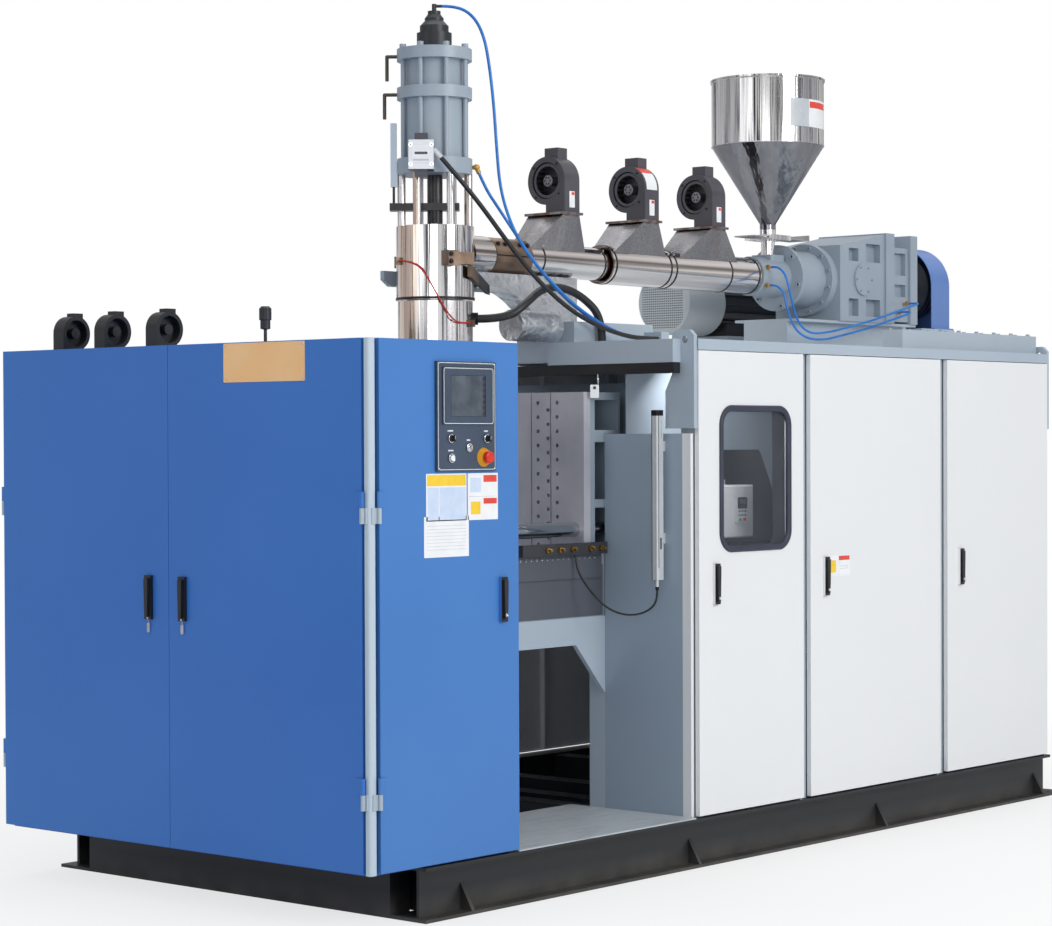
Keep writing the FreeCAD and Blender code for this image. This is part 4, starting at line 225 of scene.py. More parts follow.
def mottled(tree, surface, spot, tones, size, contrast=1.0):
    """Colour that wanders between two tones in patches of that size in mm; returns the pattern."""
    patch = add_node(tree, "TexNoise", {"Vector": spot, "Scale": 600 / size, "Detail": 4.0,
                                        "Roughness": 0.55})
    even = add_node(tree, "MapRange", {"Value": patch, "From Min": 0.5 - 0.25 / contrast,
                                       "From Max": 0.5 + 0.25 / contrast})
    tone = add_node(tree, "MixRGB", {0: even, 1: linear(tones[0]), 2: linear(tones[1])})
    tree.links.new(tone.outputs[0], surface.inputs["Base Color"])
    return patch.outputs[0]


def grained(tree, surface, spot, size, depth, stretch=(1, 1, 1)):
    """Bump of fine noise: grain size and depth in mm, drawn longer along an axis by a small stretch."""
    turned_spot = add_node(tree, "Mapping", {"Vector": spot, "Scale": stretch})
    grain = add_node(tree, "TexNoise", {"Vector": turned_spot, "Scale": 600 / size,
                                        "Detail": 3.0})
    bump = add_node(tree, "Bump", {"Height": grain, "Strength": 1.0, "Distance": depth * mm})
    tree.links.new(bump.outputs[0], surface.inputs["Normal"])


def finish(name, colour, roughness, tones, patch, grain=None, stretch=(1, 1, 1), contrast=1.0,
           metallic=0.0, ior=1.5):
    """A finish that wanders between two tones, with a fine grain of (size, depth) in mm if given."""
    parts = new_finish(name, colour, roughness, metallic, ior)
    mottled(*parts[1:], tones, patch, contrast)
    if grain:
        grained(*parts[1:], *grain, stretch)
    return parts


def extruded_plastic(name, tones, roughness):
    """Cable or tube plastic: two close tones in 60 mm patches, and a faint 2 mm draw texture."""
    return finish(name, tones[0], roughness, tones, 60, (2, 0.08), ior=1.49)[0]


def flexible(name, route, radius, material, stands_for):
    """Free round cord whose centre line is a NURBS spline of order 3 on the route's points in mm."""
    line = bpy.data.curves.new(name, "CURVE")
    line.dimensions = "3D"
    spline = line.splines.new("NURBS")
    spline.points.add(len(route) - 1)
    control = np.column_stack([np.array(route) * mm, np.ones(len(route))])
    spline.points.foreach_set("co", control.ravel())
    spline.order_u = 3
    spline.use_endpoint_u = True
    spline.resolution_u = 8
    line.bevel_depth = radius * mm
    line.bevel_resolution = 4
    line.use_fill_caps = True
    line.materials.append(material)
    made = add_object(name, line)
    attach(made, "frame")
    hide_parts(stands_for)


blue_tube = extruded_plastic("blue_polyurethane_tube", ("#1467BE", "#2A86DC"), 0.3)
air_hose_radius = 6.0
air_hose_route = [
    (-1120.5, -132.8, 3340), (-1081, -178.8, 3340), (-1045, -232, 3300), (-1018, -262, 3220),
    (-1003, -276, 3100), (-995, -290, 2950), (-994, -302, 2790), (-984, -310, 2632),
    (-943, -325, 2502), (-875, -344, 2392), (-776, -372, 2290), (-655, -403, 2190),
    (-518, -430, 2117), (-395, -447, 2075), (-295, -455, 2062), (-215, -455, 2062)]
drain_hose_route = [
    (-1028, -241, 2690), (-1000, -252, 2629), (-957, -272, 2565), (-905, -306, 2475),
    (-842, -335, 2382), (-760, -358, 2287), (-650, -388, 2192), (-515, -412, 2117),
    (-392, -428, 2075), (-295, -435, 2062), (-215, -435, 2062)]
for name, route, length in (("air_hose", air_hose_route, 1.853), ("drain_hose", drain_hose_route, 1.113)):
    flexible(name, route, air_hose_radius, blue_tube, "air_hoses")


# Water hoses: 10 mm blue polyurethane tube, extruded, looped under the feed housing and along
# the stand to the gearbox's ports, each between two brass nuts.
water_hose_radius = 5.0
upper_water_route = [
    (962, -215, 2422), (962, -241, 2422), (963, -268, 2409), (965, -290, 2383), (970, -305, 2327),
    (982, -314, 2258), (1004, -322, 2190), (1043, -328, 2146), (1108, -334, 2125), (1220, -341, 2134),
    (1345, -349, 2156), (1475, -358, 2182), (1605, -368, 2211), (1730, -378, 2243), (1843.6, -383.4, 2272),
    (1903.6, -383.4, 2284), (1933, -366.4, 2290), (1950, -337, 2292), (1950, -305, 2292)]
lower_water_route = [
    (955, -212, 2340), (955, -238, 2340), (955, -265.2, 2327.3), (956, -287, 2301), (958, -298, 2253),
    (968, -306, 2205), (990, -312, 2160), (1035, -318, 2122), (1100, -325, 2101), (1205, -331, 2100),
    (1325, -338, 2121), (1450, -347, 2145), (1570, -358, 2171), (1680, -371, 2199), (1780, -383, 2226),
    (1838.6, -383.4, 2240), (1868, -366.4, 2247), (1885, -337, 2250), (1885, -305, 2250)]
for name, route, length in (("upper_water_hose", upper_water_route, 1.327),
                            ("lower_water_hose", lower_water_route, 1.219)):
    flexible(name, route, water_hose_radius, blue_tube, "air_hoses")


# Leads: black PVC cable and conduit, extruded and dull, and the red glass-braided wire that
# feeds the head's band heaters, rough and matt.
black_lead = extruded_plastic("black_pvc_cable", ("#151619", "#24262A"), 0.42)
red_braid = extruded_plastic("red_glass_braid", ("#A81B16", "#C8372B"), 0.65)
valve_lead_route = [
    (-1250.7, -245.2, 2733.7), (-1215, -287, 2671), (-1130, -335, 2560), (-985, -365, 2402),
    (-865, -398, 2275), (-720, -438, 2165), (-560, -466, 2098), (-400, -482, 2066),
    (-290, -485, 2062), (-215, -485, 2062)]
conduit_route = [
    (-1031.9, -236.1, 2125), (-957, -323.4, 2125), (-870, -350, 2190), (-765, -335, 2250),
    (-645, -335, 2262), (-535, -352, 2228), (-450, -386, 2145), (-450, -386, 2040)]
curtain_cable_route = [
    (-642.5, -812, 1069), (-642.5, -812, 1035), (-648, -793, 1000), (-672, -752, 974),
    (-715, -702, 972), (-758, -652, 1000), (-785, -605, 1055), (-796, -560, 1112),
    (-799, -536, 1160), (-799, -530, 1205)]
head_x = -1140.0
line_y = -110.0
photo_side = math.radians(-49.4)
upper_block = (-152.0, 2345.0, 152.0)
lower_block = (-22.0, 2105.0, 146.0)


def round_head(radius, bearing, height, sideways=0.0):
    """Point round the head's axis: bearing in degrees from the crosshead's line, moved along the tangent."""
    turn = photo_side + np.radians(bearing)
    x = head_x + radius * np.cos(turn) - sideways * np.sin(turn)
    y = line_y + radius * np.sin(turn) + sideways * np.cos(turn)
    return np.stack(np.broadcast_arrays(x, y, height), -1)


def heater_wire_route():
    """From block to block: out sideways, round the cover on a half cosine drop, then in sideways."""
    (first, top, outer), (last, bottom, inner) = upper_block, lower_block
    share = np.linspace(0, 1, 7)
    drop = (1 - np.cos(np.pi * share)) / 2
    begin, end = first + 32, last - 32
    middle = round_head(outer + 10, begin + (end - begin) * share, top - 12 + (bottom + 12 - top) * drop)
    leave = [round_head(outer + 9, first, top, side) for side in (10, 40)]
    enter = [round_head(inner + 9, last, bottom, side) for side in (-40, -10)]
    return np.vstack([leave, middle, enter]).tolist()


for name, route, radius, length, material in (
        ("valve_lead", valve_lead_route, 9.0, 1.334, black_lead),
        ("conduit", conduit_route, 16.0, 0.797, black_lead),
        ("curtain_cable", curtain_cable_route, 4.0, 0.510, black_lead),
        ("heater_wires", heater_wire_route(), 3.0, 0.462, red_braid)):
    flexible(name, route, radius, material, "cables")


# Skid base: hot-rolled I beams and cross members, welded and brushed with black alkyd paint.
# The paint is satin and slightly wavy, with grey floor dust along its lower flange.
def enamel(name, tones, roughness, peel=0.05, patch=900):
    """Machine paint: two close tones in large patches, an orange peel of 4 mm and uneven gloss."""
    material, tree, surface, spot = new_finish(name, tones[0], roughness)
    pattern = mottled(tree, surface, spot, tones, patch)
    grained(tree, surface, spot, 4, peel)
    gloss = add_node(tree, "MapRange", {"Value": pattern, "From Min": 0.3, "From Max": 0.7,
                                        "To Min": roughness * 0.85, "To Max": roughness * 1.2})
    tree.links.new(gloss.outputs[0], surface.inputs["Roughness"])
    return material, tree, surface, spot


def tinted(tree, surface, mask, colour, share=1.0):
    """Lays a colour over the present one where the mask is 1."""
    under = surface.inputs["Base Color"].links[0].from_socket
    amount = add_node(tree, "Math", {0: mask, 1: share}, operation="MULTIPLY")
    over = add_node(tree, "MixRGB", {0: amount, 1: under, 2: linear(colour)})
    tree.links.new(over.outputs[0], surface.inputs["Base Color"])


def below(tree, spot, height, blend):
    """Mask that is 1 under a height in mm and fades out over the blend above it."""
    up = add_node(tree, "SeparateXYZ", {0: spot})
    fall = add_node(tree, "MapRange", {"Value": up.outputs["Z"], "From Min": height * mm,
                                       "From Max": (height + blend) * mm, "To Min": 1.0, "To Max": 0.0})
    return fall.outputs[0]


def wear(node, material):
    """Gives a CAD node its finish."""
    slots = solids[node].data.materials
    slots.clear()
    slots.append(material)


skid_paint, tree, surface, spot = enamel("black_alkyd_skid_paint", ("#17181B", "#232528"), 0.42, peel=0.3)
dust = add_node(tree, "TexNoise", {"Vector": spot, "Scale": 9.0, "Detail": 5.0})
dust_low = add_node(tree, "Math", {0: dust, 1: below(tree, spot, 4, 90)}, operation="MULTIPLY")
tinted(tree, surface, dust_low.outputs[0], "#7C7770", 0.55)
wear("base_frame", skid_paint)


# Tread plate: 5 mm steel sheet in the operator's opening, sprayed pale grey like the cabinet
# floor and scuffed by boots, so it is duller and darker in long smears.
tread_paint, tree, surface, spot = enamel("scuffed_pale_grey_paint", ("#B4BBC0", "#C3C9CD"), 0.38)
smear_spot = add_node(tree, "Mapping", {"Vector": spot, "Rotation": (0, 0, 0.5), "Scale": (1.0, 5.0, 1.0)})
smear = add_node(tree, "TexNoise", {"Vector": smear_spot, "Scale": 5.0, "Detail": 8.0,
                                    "Roughness": 0.7})
worn = add_node(tree, "MapRange", {"Value": smear, "From Min": 0.48, "From Max": 0.7})
tinted(tree, surface, worn.outputs[0], "#8B8F92", 0.6)
wear("tread_plate", tread_paint)


# Blue cabinet doors: folded 3 mm steel trays, powder coated in a satin mid blue. Their handle
# plates are black nylon, so the same doors carry black where the plates stand.
def inside(tree, spot, low, high):
    """Mask that is 1 inside a box in mm: the largest of |position - middle| - half size is under 0."""
    low, high = np.array(low, float) * mm, np.array(high, float) * mm
    off = add_node(tree, "VectorMath", {0: spot, 1: tuple((low + high) / 2)}, operation="SUBTRACT")
    size = add_node(tree, "VectorMath", {0: off}, operation="ABSOLUTE")
    past = add_node(tree, "VectorMath", {0: size, 1: tuple((high - low) / 2)},
                    operation="SUBTRACT")
    axes = add_node(tree, "SeparateXYZ", {0: past})
    widest = add_node(tree, "Math", {0: axes, 1: axes.outputs[1]}, operation="MAXIMUM")
    widest = add_node(tree, "Math", {0: widest, 1: axes.outputs[2]}, operation="MAXIMUM")
    return add_node(tree, "Math", {0: widest, 1: 0.0}, operation="LESS_THAN").outputs[0]


door_face, end_face = -967.0, -2400.0
handle_z, handle_top, handle_half, handle_depth = 1012.0, 1170.0, 17.5, 12.0
nylon_black = "#1A1A1D"


def door_finish(name, tones, roughness, box_low, box_high):
    """Powder coat with a black handle plate inside the given box."""
    material, tree, surface, spot = enamel(name, tones, roughness, peel=0.06, patch=1400)
    tinted(tree, surface, inside(tree, spot, box_low, box_high), nylon_black)
    return material


blue_tones = ("#2C6BC0", "#3A7DCE")
control_handle_x = -1729.0
end_handle_ys = (-48.0, 132.0)
# The control door's tones are a lighter, greener copy of the doors' blue: painted light for its brighter lit
# face.
wear("control_door", door_finish("blue_powder_coat_control", ("#3C75BC", "#4A85CA"), 0.36,
                                 (control_handle_x - handle_half, door_face - 20, handle_z),
                                 (control_handle_x + handle_half, door_face - 0.2, handle_top)))
for node, y in zip(("end_door_front", "end_door_rear"), end_handle_ys):
    wear(node, door_finish("blue_powder_coat_" + node, blue_tones, 0.36,
                           (end_face - 20, y - handle_half, handle_z),
                           (end_face - 0.2, y + handle_half, handle_top)))


# Swing handles: glass-filled nylon levers, moulded, with a fine spark texture, and chromed zinc
# locks. The end doors' locks are on the handle plates' feet, and a wire ring with a key hangs
# below each.
def shell(name, points, material, body, ring=False, smooth=False):
    """Places a surface closed round its columns, with doubles merged and its faces turned outwards."""
    mesh = grid_mesh(name, points, closed_u=ring, closed_v=True)
    merged = bmesh.new()
    merged.from_mesh(mesh)
    bmesh.ops.remove_doubles(merged, verts=merged.verts, dist=2e-6)
    bmesh.ops.recalc_face_normals(merged, faces=merged.faces)
    merged.to_mesh(mesh)
    merged.free()
    place(name, mesh, material, body, smooth)


def turned(name, profile, feet, directions, material, body, sides=48, smooth=True):
    """Surfaces of revolution: each (radius, along) in mm goes round the axis of every foot."""
    feet = np.atleast_2d(np.array(feet, float))
    axes = np.broadcast_to(np.atleast_2d(np.array(directions, float)), feet.shape)
    axes = axes / np.linalg.norm(axes, axis=1, keepdims=True)
    helper = np.where(np.abs(axes[:, 2:]) < 0.9, [[0, 0, 1.0]], [[1.0, 0, 0]])
    side = np.cross(helper, axes)
    side = side / np.linalg.norm(side, axis=1, keepdims=True)
    other = np.cross(axes, side)
    radius, along = np.array(profile, float).T
    turn = (np.arange(sides) + 0.5) * 2 * np.pi / sides
    points = (feet[:, None, None] + np.outer(radius, np.cos(turn))[..., None] * side[:, None, None]
              + np.outer(radius, np.sin(turn))[..., None] * other[:, None, None]
              + along[:, None, None] * axes[:, None, None])
    shell(name, points, material, body, smooth=smooth)


def rounded_frame(name, middle, right, up, size, corner, rows, material, body, ring=False,
                  smooth=False):
    """Rounded rectangle carried through rows of (inset, lift): straight sides and quarter circles.

    A row's outline is the corner circles' centres plus their radius less the inset. A closed plate
    starts and ends at an inset of half its width; a ring closes on its first row.
    """
    right, up = np.array(right, float), np.array(up, float)
    inset, lift = np.array(rows, float).T
    turn = (np.arange(32) + 0.5) * np.pi / 16
    radius = np.maximum(corner - inset, 0)[:, None]
    spare = np.maximum(inset - corner, 0)[:, None]
    across = np.sign(np.cos(turn)) * np.maximum(size[0] / 2 - corner - spare, 0) + radius * np.cos(turn)
    along = np.sign(np.sin(turn)) * np.maximum(size[1] / 2 - corner - spare, 0) + radius * np.sin(turn)
    points = (np.array(middle, float) + across[..., None] * right + along[..., None] * up
              + lift[:, None, None] * np.cross(right, up))
    shell(name, points, material, body, ring, smooth)


def plate(name, middle, right, up, size, thick, corner, material, body, edge=0.4):
    """Thin plate with rounded corners and an eased edge, standing on the plane through its middle."""
    far = max(size)
    rows = [(far, 0), (0, 0), (0, thick - edge), (edge * 0.3, thick - edge * 0.3), (edge, thick),
            (far, thick)]
    rounded_frame(name, middle, right, up, size, corner, rows, material, body)


nylon = finish("black_glass_filled_nylon", nylon_black, 0.45, ("#17171A", "#242428"), 40, (1.5, 0.06),
               ior=1.53)[0]
chrome = finish("chromed_zinc", "#D6D8DB", 0.12, ("#C4C7CB", "#E4E6E8"), 15, (2, 0.02), metallic=1.0)[0]

front_handles = {"white_handle_1": -473.0, "white_handle_2": 279.0, "white_handle_3": 1325.0,
                 "control_handle": control_handle_x}
end_handles = dict(zip(("end_handle_front", "end_handle_rear"), end_handle_ys))
lever_skin = handle_depth + 9.3
lock_profile = [(0, 0), (6.5, 0), (6.5, 1.0), (5.8, 1.7), (4.2, 1.7), (4.0, 1.1), (0, 1.1)]
for node, x in front_handles.items():
    wear(node, nylon)
    foot = (x, door_face - lever_skin, handle_z + 24)
    turned(node + "_lock", lock_profile, foot, (0, -1, 0), chrome, node, 24)
small_lock = [(radius * 0.65, rise * 0.65) for radius, rise in lock_profile]
key_ring_radius, key_wire_radius = 10, 0.9
loop = np.linspace(0, 2 * np.pi, 24, endpoint=False)
wire = np.linspace(0, 2 * np.pi, 8, endpoint=False)
reach = key_ring_radius + key_wire_radius * np.cos(wire)
ring_shape = np.stack([np.outer(np.cos(loop), reach) * 0.25, np.outer(np.cos(loop), reach) * 0.6,
                       np.outer(np.sin(loop), reach)], -1)
wire_rise = np.array([0, key_wire_radius, 0]) * np.sin(wire)[:, None]
for node, y in end_handles.items():
    wear(node, nylon)
    door = node.replace("handle", "door")
    foot = np.array([end_face - handle_depth, y, handle_z + 5])
    turned(node + "_lock", small_lock, foot, (-1, 0, 0), chrome, door, 24)
    middle = np.array([end_face - 8, y, handle_z - 3])
    shell(node + "_key_ring", middle + ring_shape + wire_rise, chrome, door, ring=True, smooth=True)
    plate(node + "_spare_key", middle + (0, 0.5, -27), (-0.4, 0.9165, 0), (0, 0, 1), (11, 34), 2.0, 3.5,
          chrome, door)


# Name plate: 1.2 mm brass sheet, brushed and lacquered, left blank, on four round-head screws. A
# low rim is raised round its edge.
brass_sheet = finish("brushed_brass_sheet", "#FFCB90", 0.34, ("#FBC587", "#FFD6A4"), 120, (1.6, 0.05),
                     stretch=(1, 0.06, 1), metallic=0.2)[0]
sign_low, sign_high = np.array([-667.0, 1856.0]), np.array([-263.0, 1992.0])
sign_size = sign_high - sign_low
sign_middle = (end_face, *((sign_low + sign_high) / 2))
sheet_depth, rim_depth = 1.2, 1.6
plate("name_plate", sign_middle, (0, -1, 0), (0, 0, 1), sign_size, sheet_depth, 4, brass_sheet,
      "end_door_front")
rim_rows = [(5, sheet_depth), (5, rim_depth), (6.5, rim_depth), (6.5, sheet_depth)]
rounded_frame("name_plate_rim", sign_middle, (0, -1, 0), (0, 0, 1), sign_size, 8, rim_rows, brass_sheet,
              "end_door_front", ring=True)
dome = [(0, 0), (4.2, 0), (4.2, 0.6), (3.4, 1.9), (1.8, 2.6), (0, 2.8)]
screw_inset = 11
corners = [(end_face - sheet_depth, y, z)
           for y in (sign_low[0] + screw_inset, sign_high[0] - screw_inset)
           for z in (sign_low[1] + screw_inset, sign_high[1] - screw_inset)]
turned("name_plate_screws", dome, corners, (-1, 0, 0), chrome, "end_door_front", 16)


# Control panel: anodised dark grey aluminium plate with a pale printed border, a display behind
# clear film, a column of soft keys, and round switches with chromed rings and blank legends.
panel_face = -979.0
panel_x, panel_z = (-2076.0, -1773.0), (1545.0, 1923.0)
bezel_x, bezel_z, bezel_depth = (-2051.0, -1791.0), (1706.0, 1903.0), 6.0
screen_x, screen_z = (-2013.0, -1833.0), (1732.0, 1876.0)
switch_places = {"selector_left": (-2007.0, 1658.0), "selector_right": (-1823.0, 1657.0),
                 "key_switch": (-1914.0, 1626.0), "start_button": (-2005.0, 1590.0)}
stop_place = (-1838.0, 1592.0)
right, up = (1, 0, 0), (0, 0, 1)

panel_skin, tree, surface, spot = finish("dark_anodised_aluminium", "#3A4A60", 0.4, ("#3A4758", "#48566A"),
                                         160, (1.5, 0.03), stretch=(0.05, 1, 1), metallic=0.2)
x, z = stop_place
collar = inside(tree, spot, (x - 36, panel_face - 16, z - 36), (x + 36, panel_face - 0.3, z + 36))
tinted(tree, surface, collar, "#E8A21C")
wear("control_panel", panel_skin)

pale_ink = finish("white_screen_print", "#D9DDE0", 0.5, ("#CDD2D6", "#E6E9EB"), 12)[0]
border_rows = [(0, 0), (0, 0.4), (2.4, 0.4), (2.4, 0)]
for name, xs, zs, inset, depth in (("panel_border", panel_x, panel_z, 4, 0),
                                   ("bezel_border", bezel_x, bezel_z, 2, bezel_depth)):
    middle = (sum(xs) / 2, panel_face - depth, sum(zs) / 2)
    size = (xs[1] - xs[0] - 2 * inset, zs[1] - zs[0] - 2 * inset)
    rounded_frame(name, middle, right, up, size, 9, border_rows, pale_ink, "control_door", ring=True)
screw_inset = 8
corners = [(x, panel_face, z) for x in (panel_x[0] + screw_inset, panel_x[1] - screw_inset)
           for z in (panel_z[0] + screw_inset, panel_z[1] - screw_inset)]
turned("panel_screws", dome, corners, (0, -1, 0), chrome, "control_door", 16)

display, tree, surface, spot = finish("display_behind_film", "#3A444F", 0.12, ("#36404B", "#58636E"), 70,
                                      contrast=1.6)
crease_spot = add_node(tree, "Mapping", {"Vector": spot, "Rotation": (0, 0.6, 0), "Scale": (1, 1, 0.45)})
crease = add_node(tree, "TexNoise", {"Vector": crease_spot, "Scale": 45.0, "Detail": 2.0,
                                     "Distortion": 1.6})
bump = add_node(tree, "Bump", {"Height": crease, "Strength": 0.7, "Distance": 0.0015})
tree.links.new(bump.outputs[0], surface.inputs["Normal"])
screen_face = panel_face - bezel_depth + 3
screen_middle = (sum(screen_x) / 2 - 6, screen_face, sum(screen_z) / 2)
plate("display_screen", screen_middle, right, up, (164, 140), 2.0, 2, display, "control_door")
film = finish("dark_display_surround", "#2B2430", 0.3, ("#2A2228", "#3A3038"), 30)[0]
for number, z in enumerate(np.linspace(1744, 1864, 7), 1):
    key_middle = (screen_x[1] - 9, screen_face, z)
    plate("soft_key_%d" % number, key_middle, right, up, (12, 12), 2.4, 3, film, "control_door")

for name, (x, z) in switch_places.items():
    radius = 15.5 if name == "start_button" else 14.4
    ring_profile = [(radius - 3.6, 2.6), (radius + 0.6, 2.6), (radius + 1.6, 3.2), (radius + 0.8, 5.0),
                    (radius - 1.4, 5.4), (radius - 3.6, 4.4), (radius - 3.6, 2.6)]
    if name == "key_switch":
        ring_profile = [(0, 2.6)] + ring_profile[1:5] + [(9.5, 4.6), (7.5, 6.2), (0, 6.2)]
    turned(name + "_ring", ring_profile, (x, panel_face, z), (0, -1, 0), chrome, "control_door")
x, z = switch_places["key_switch"]
plate("key_slot", (x, panel_face - 6.2, z), right, up, (2.4, 9), 0.3, 0.8, nylon, "control_door", edge=0.1)
legends = ((-2007, 1684, 28), (-1823, 1683, 20), (-1914, 1652, 18), (-2005, 1616, 26))
for number, (x, z, width) in enumerate(legends, 1):
    plate("switch_legend_%d" % number, (x - 3, panel_face, z), right, up, (width, 5), 0.3, 1, pale_ink,
          "control_door", edge=0.1)

pointer = finish("black_polycarbonate", "#1C1C20", 0.25, ("#19191C", "#2B2B30"), 8, ior=1.58)[0]
for node in ("selector_left", "selector_right"):
    wear(node, pointer)
    x, z = switch_places[node]
    plate(node + "_line", (x, panel_face - 21.3, z + 3), right, up, (1.6, 12), 0.25, 0.6, pale_ink, node,
          edge=0.1)
wear("start_button", finish("white_polycarbonate_cap", "#EFF2F4", 0.22, ("#E9EDF0", "#F6F8F9"), 6,
                            ior=1.58)[0])
wear("estop_button", finish("red_polyamide_mushroom", "#D8200F", 0.28, ("#CE1B0D", "#E43420"), 18,
                            (1.5, 0.03), ior=1.53)[0])


# Plates stuck on the control door: printed vinyl, without its words. Only the fields of colour of
# the real ones are kept, with ruled lines where the real plate has its table.
def vinyl(name, tones):
    """Printed vinyl film: satin, with slight rubbing in 25 mm patches."""
    return finish(name, tones[0], 0.35, tones, 25, (2.5, 0.03))[0]


def sticker(name, body, middle, across, size, ground, fields):
    """White film with fields of colour: each (x, z, width, height, film) is laid 0.1 mm higher."""
    plate(name, middle, across, up, size, 0.4, 3, ground, body, edge=0.1)
    out = np.cross(across, up)
    for number, (x, z, width, height, film_colour) in enumerate(fields, 1):
        field_middle = np.array(middle) + np.array(across) * x + np.array(up) * z + out * 0.4
        plate("%s_field_%d" % (name, number), field_middle, across, up, (width, height), 0.1, 0.5,
              film_colour, body, edge=0.05)


white_vinyl = vinyl("white_vinyl", ("#E9EBED", "#F3F4F5"))
yellow_vinyl = vinyl("yellow_vinyl", ("#F2C51D", "#F8D441"))
pale_blue_vinyl = vinyl("pale_blue_vinyl", ("#BFD3EC", "#D3E0F2"))
red_vinyl = vinyl("red_vinyl", ("#DE3B2C", "#EA5544"))
grey_line_vinyl = vinyl("grey_line_vinyl", ("#B9BEC4", "#C9CDD2"))
sticker("operation_plate", "control_door", (-2018, door_face, 1455.5), right, (206, 163), white_vinyl,
        [(0, 58, 198, 38, yellow_vinyl), (-68, -22, 56, 112, pale_blue_vinyl),
         (31, -22, 134, 112, pale_blue_vinyl)])
sticker("notice_plate", "control_door", (-1830, door_face, 1455.5), right, (158, 163), white_vinyl,
        [(38, 62, 70, 24, red_vinyl), (38, -16, 70, 20, red_vinyl), (-38, 40, 56, 50, pale_blue_vinyl),
         (-38, -40, 50, 44, yellow_vinyl), (0, 0, 150, 1.4, grey_line_vinyl)])
table_lines = [(0, z, 200, 1.4, grey_line_vinyl) for z in np.linspace(-44, 38, 8)]
sticker("data_plate", "control_door", (-2018, door_face, 1320), right, (228, 140), white_vinyl, table_lines)


# White cabinet doors: folded steel trays, powder coated off-white with a fine peel. Black nylon
# handle plates stand in each; the second door has one small blank sign beside its handle.
white_tones = ("#E3E5E6", "#EAEBEC")
for node, x in (("white_door_1", -473.0), ("white_door_2", 279.0), ("white_door_3", 1325.0)):
    wear(node, door_finish("off_white_powder_coat_" + node[-1], white_tones, 0.34,
                           (x - handle_half, door_face - 20, handle_z),
                           (x + handle_half, door_face - 0.2, handle_top)))
sticker("door_sign", "white_door_2", (378.5, door_face, 1130), right, (161, 84), white_vinyl,
        [(38, 31, 78, 18, red_vinyl), (-42, -2, 40, 50, yellow_vinyl), (38, -2, 60, 2, grey_line_vinyl),
         (38, -12, 60, 2, grey_line_vinyl), (0, 0, 0.8, 80, grey_line_vinyl)])


# Window: 5 mm clear acrylic held in a black extruded rubber seal. The acrylic is slightly grey
# and hazy; the seal has a rounded bead outside and a lip that bears on the pane.
acrylic, tree, surface, spot = finish("clear_acrylic_pane", "#8E98A8", 0.03, ("#7F8A9C", "#B9C0CA"), 160,
                                      contrast=1.5, ior=1.49)
surface.inputs["Alpha"].default_value = 0.06
haze = add_node(tree, "TexNoise", {"Vector": spot, "Scale": 14.0, "Detail": 6.0, "Roughness": 0.7})
cloud = add_node(tree, "MapRange", {"Value": haze, "From Min": 0.5, "From Max": 0.8,
                                    "To Min": 0.02, "To Max": 0.14})
tree.links.new(cloud.outputs[0], surface.inputs["Roughness"])
wear("window_glass", acrylic)

rubber = finish("black_window_rubber", "#2B2E3E", 0.5, ("#272A3A", "#363A4C"), 90, (2, 0.08), ior=1.52)[0]
window_middle = (-207.0, door_face, 1498.0)
seal_rows = [(0, 0), (0, 4), (3, 8), (10, 9.5), (19, 8), (25, 3), (25, -6.5), (14, -6.5), (14, 0)]
rounded_frame("window_seal", window_middle, right, up, (480, 576), 81, seal_rows, rubber, "white_door_1",
              ring=True, smooth=True)


# Cabinet posts, edge beams and lugs: square tube and folded strip in pale grey-blue paint. The
# folded panels behind are blue round the electric cabinet and white round the hydraulic one.
pale_tones = ("#A6B3C0", "#B3C0CB")
frame_paint, tree, surface, spot = enamel("pale_grey_blue_frame_paint", pale_tones, 0.36)
tinted(tree, surface, inside(tree, spot, (-2401, -968, 0), (-2345, -900, 2100)), "#BCCBD8")
wear("cabinet_frame", frame_paint)
panel_paint, tree, surface, spot = enamel("white_and_blue_panel_paint", white_tones, 0.36)
tinted(tree, surface, inside(tree, spot, (-3000, -1500, 0), (-1668, 1500, 4000)), blue_tones[0])
tinted(tree, surface, inside(tree, spot, (-1668, -903, 0), (-565, 903, 1960)), "#9BAAB9")
wear("cabinet_panels", panel_paint)


# Clamp frame: thick plates, girders and gussets, welded and sprayed machine grey. The flat beam over
# the platens is painted near black and the manifold's apron dark grey, both as painted shade.
clamp_paint, tree, surface, spot = enamel("machine_grey_clamp_paint", ("#8391A0", "#95A2AF"), 0.4,
                                          peel=0.12)
# Painted shade: the flat cross beam above the platens is coloured near black.
tinted(tree, surface, inside(tree, spot, (-652, -905, 1905), (-600, 905, 1953)), "#1B1B1F")
# Painted shade: the manifold's apron, where the girder side lies in deep shadow, is coloured dark grey.
tinted(tree, surface, inside(tree, spot, (-1140, -520, 960), (-605, -505, 1206)), "#555861")
tinted(tree, surface, inside(tree, spot, (-1140, -549, 1204), (-610, -511.5, 1260)), "#35373D")
wear("clamp_frame", clamp_paint)


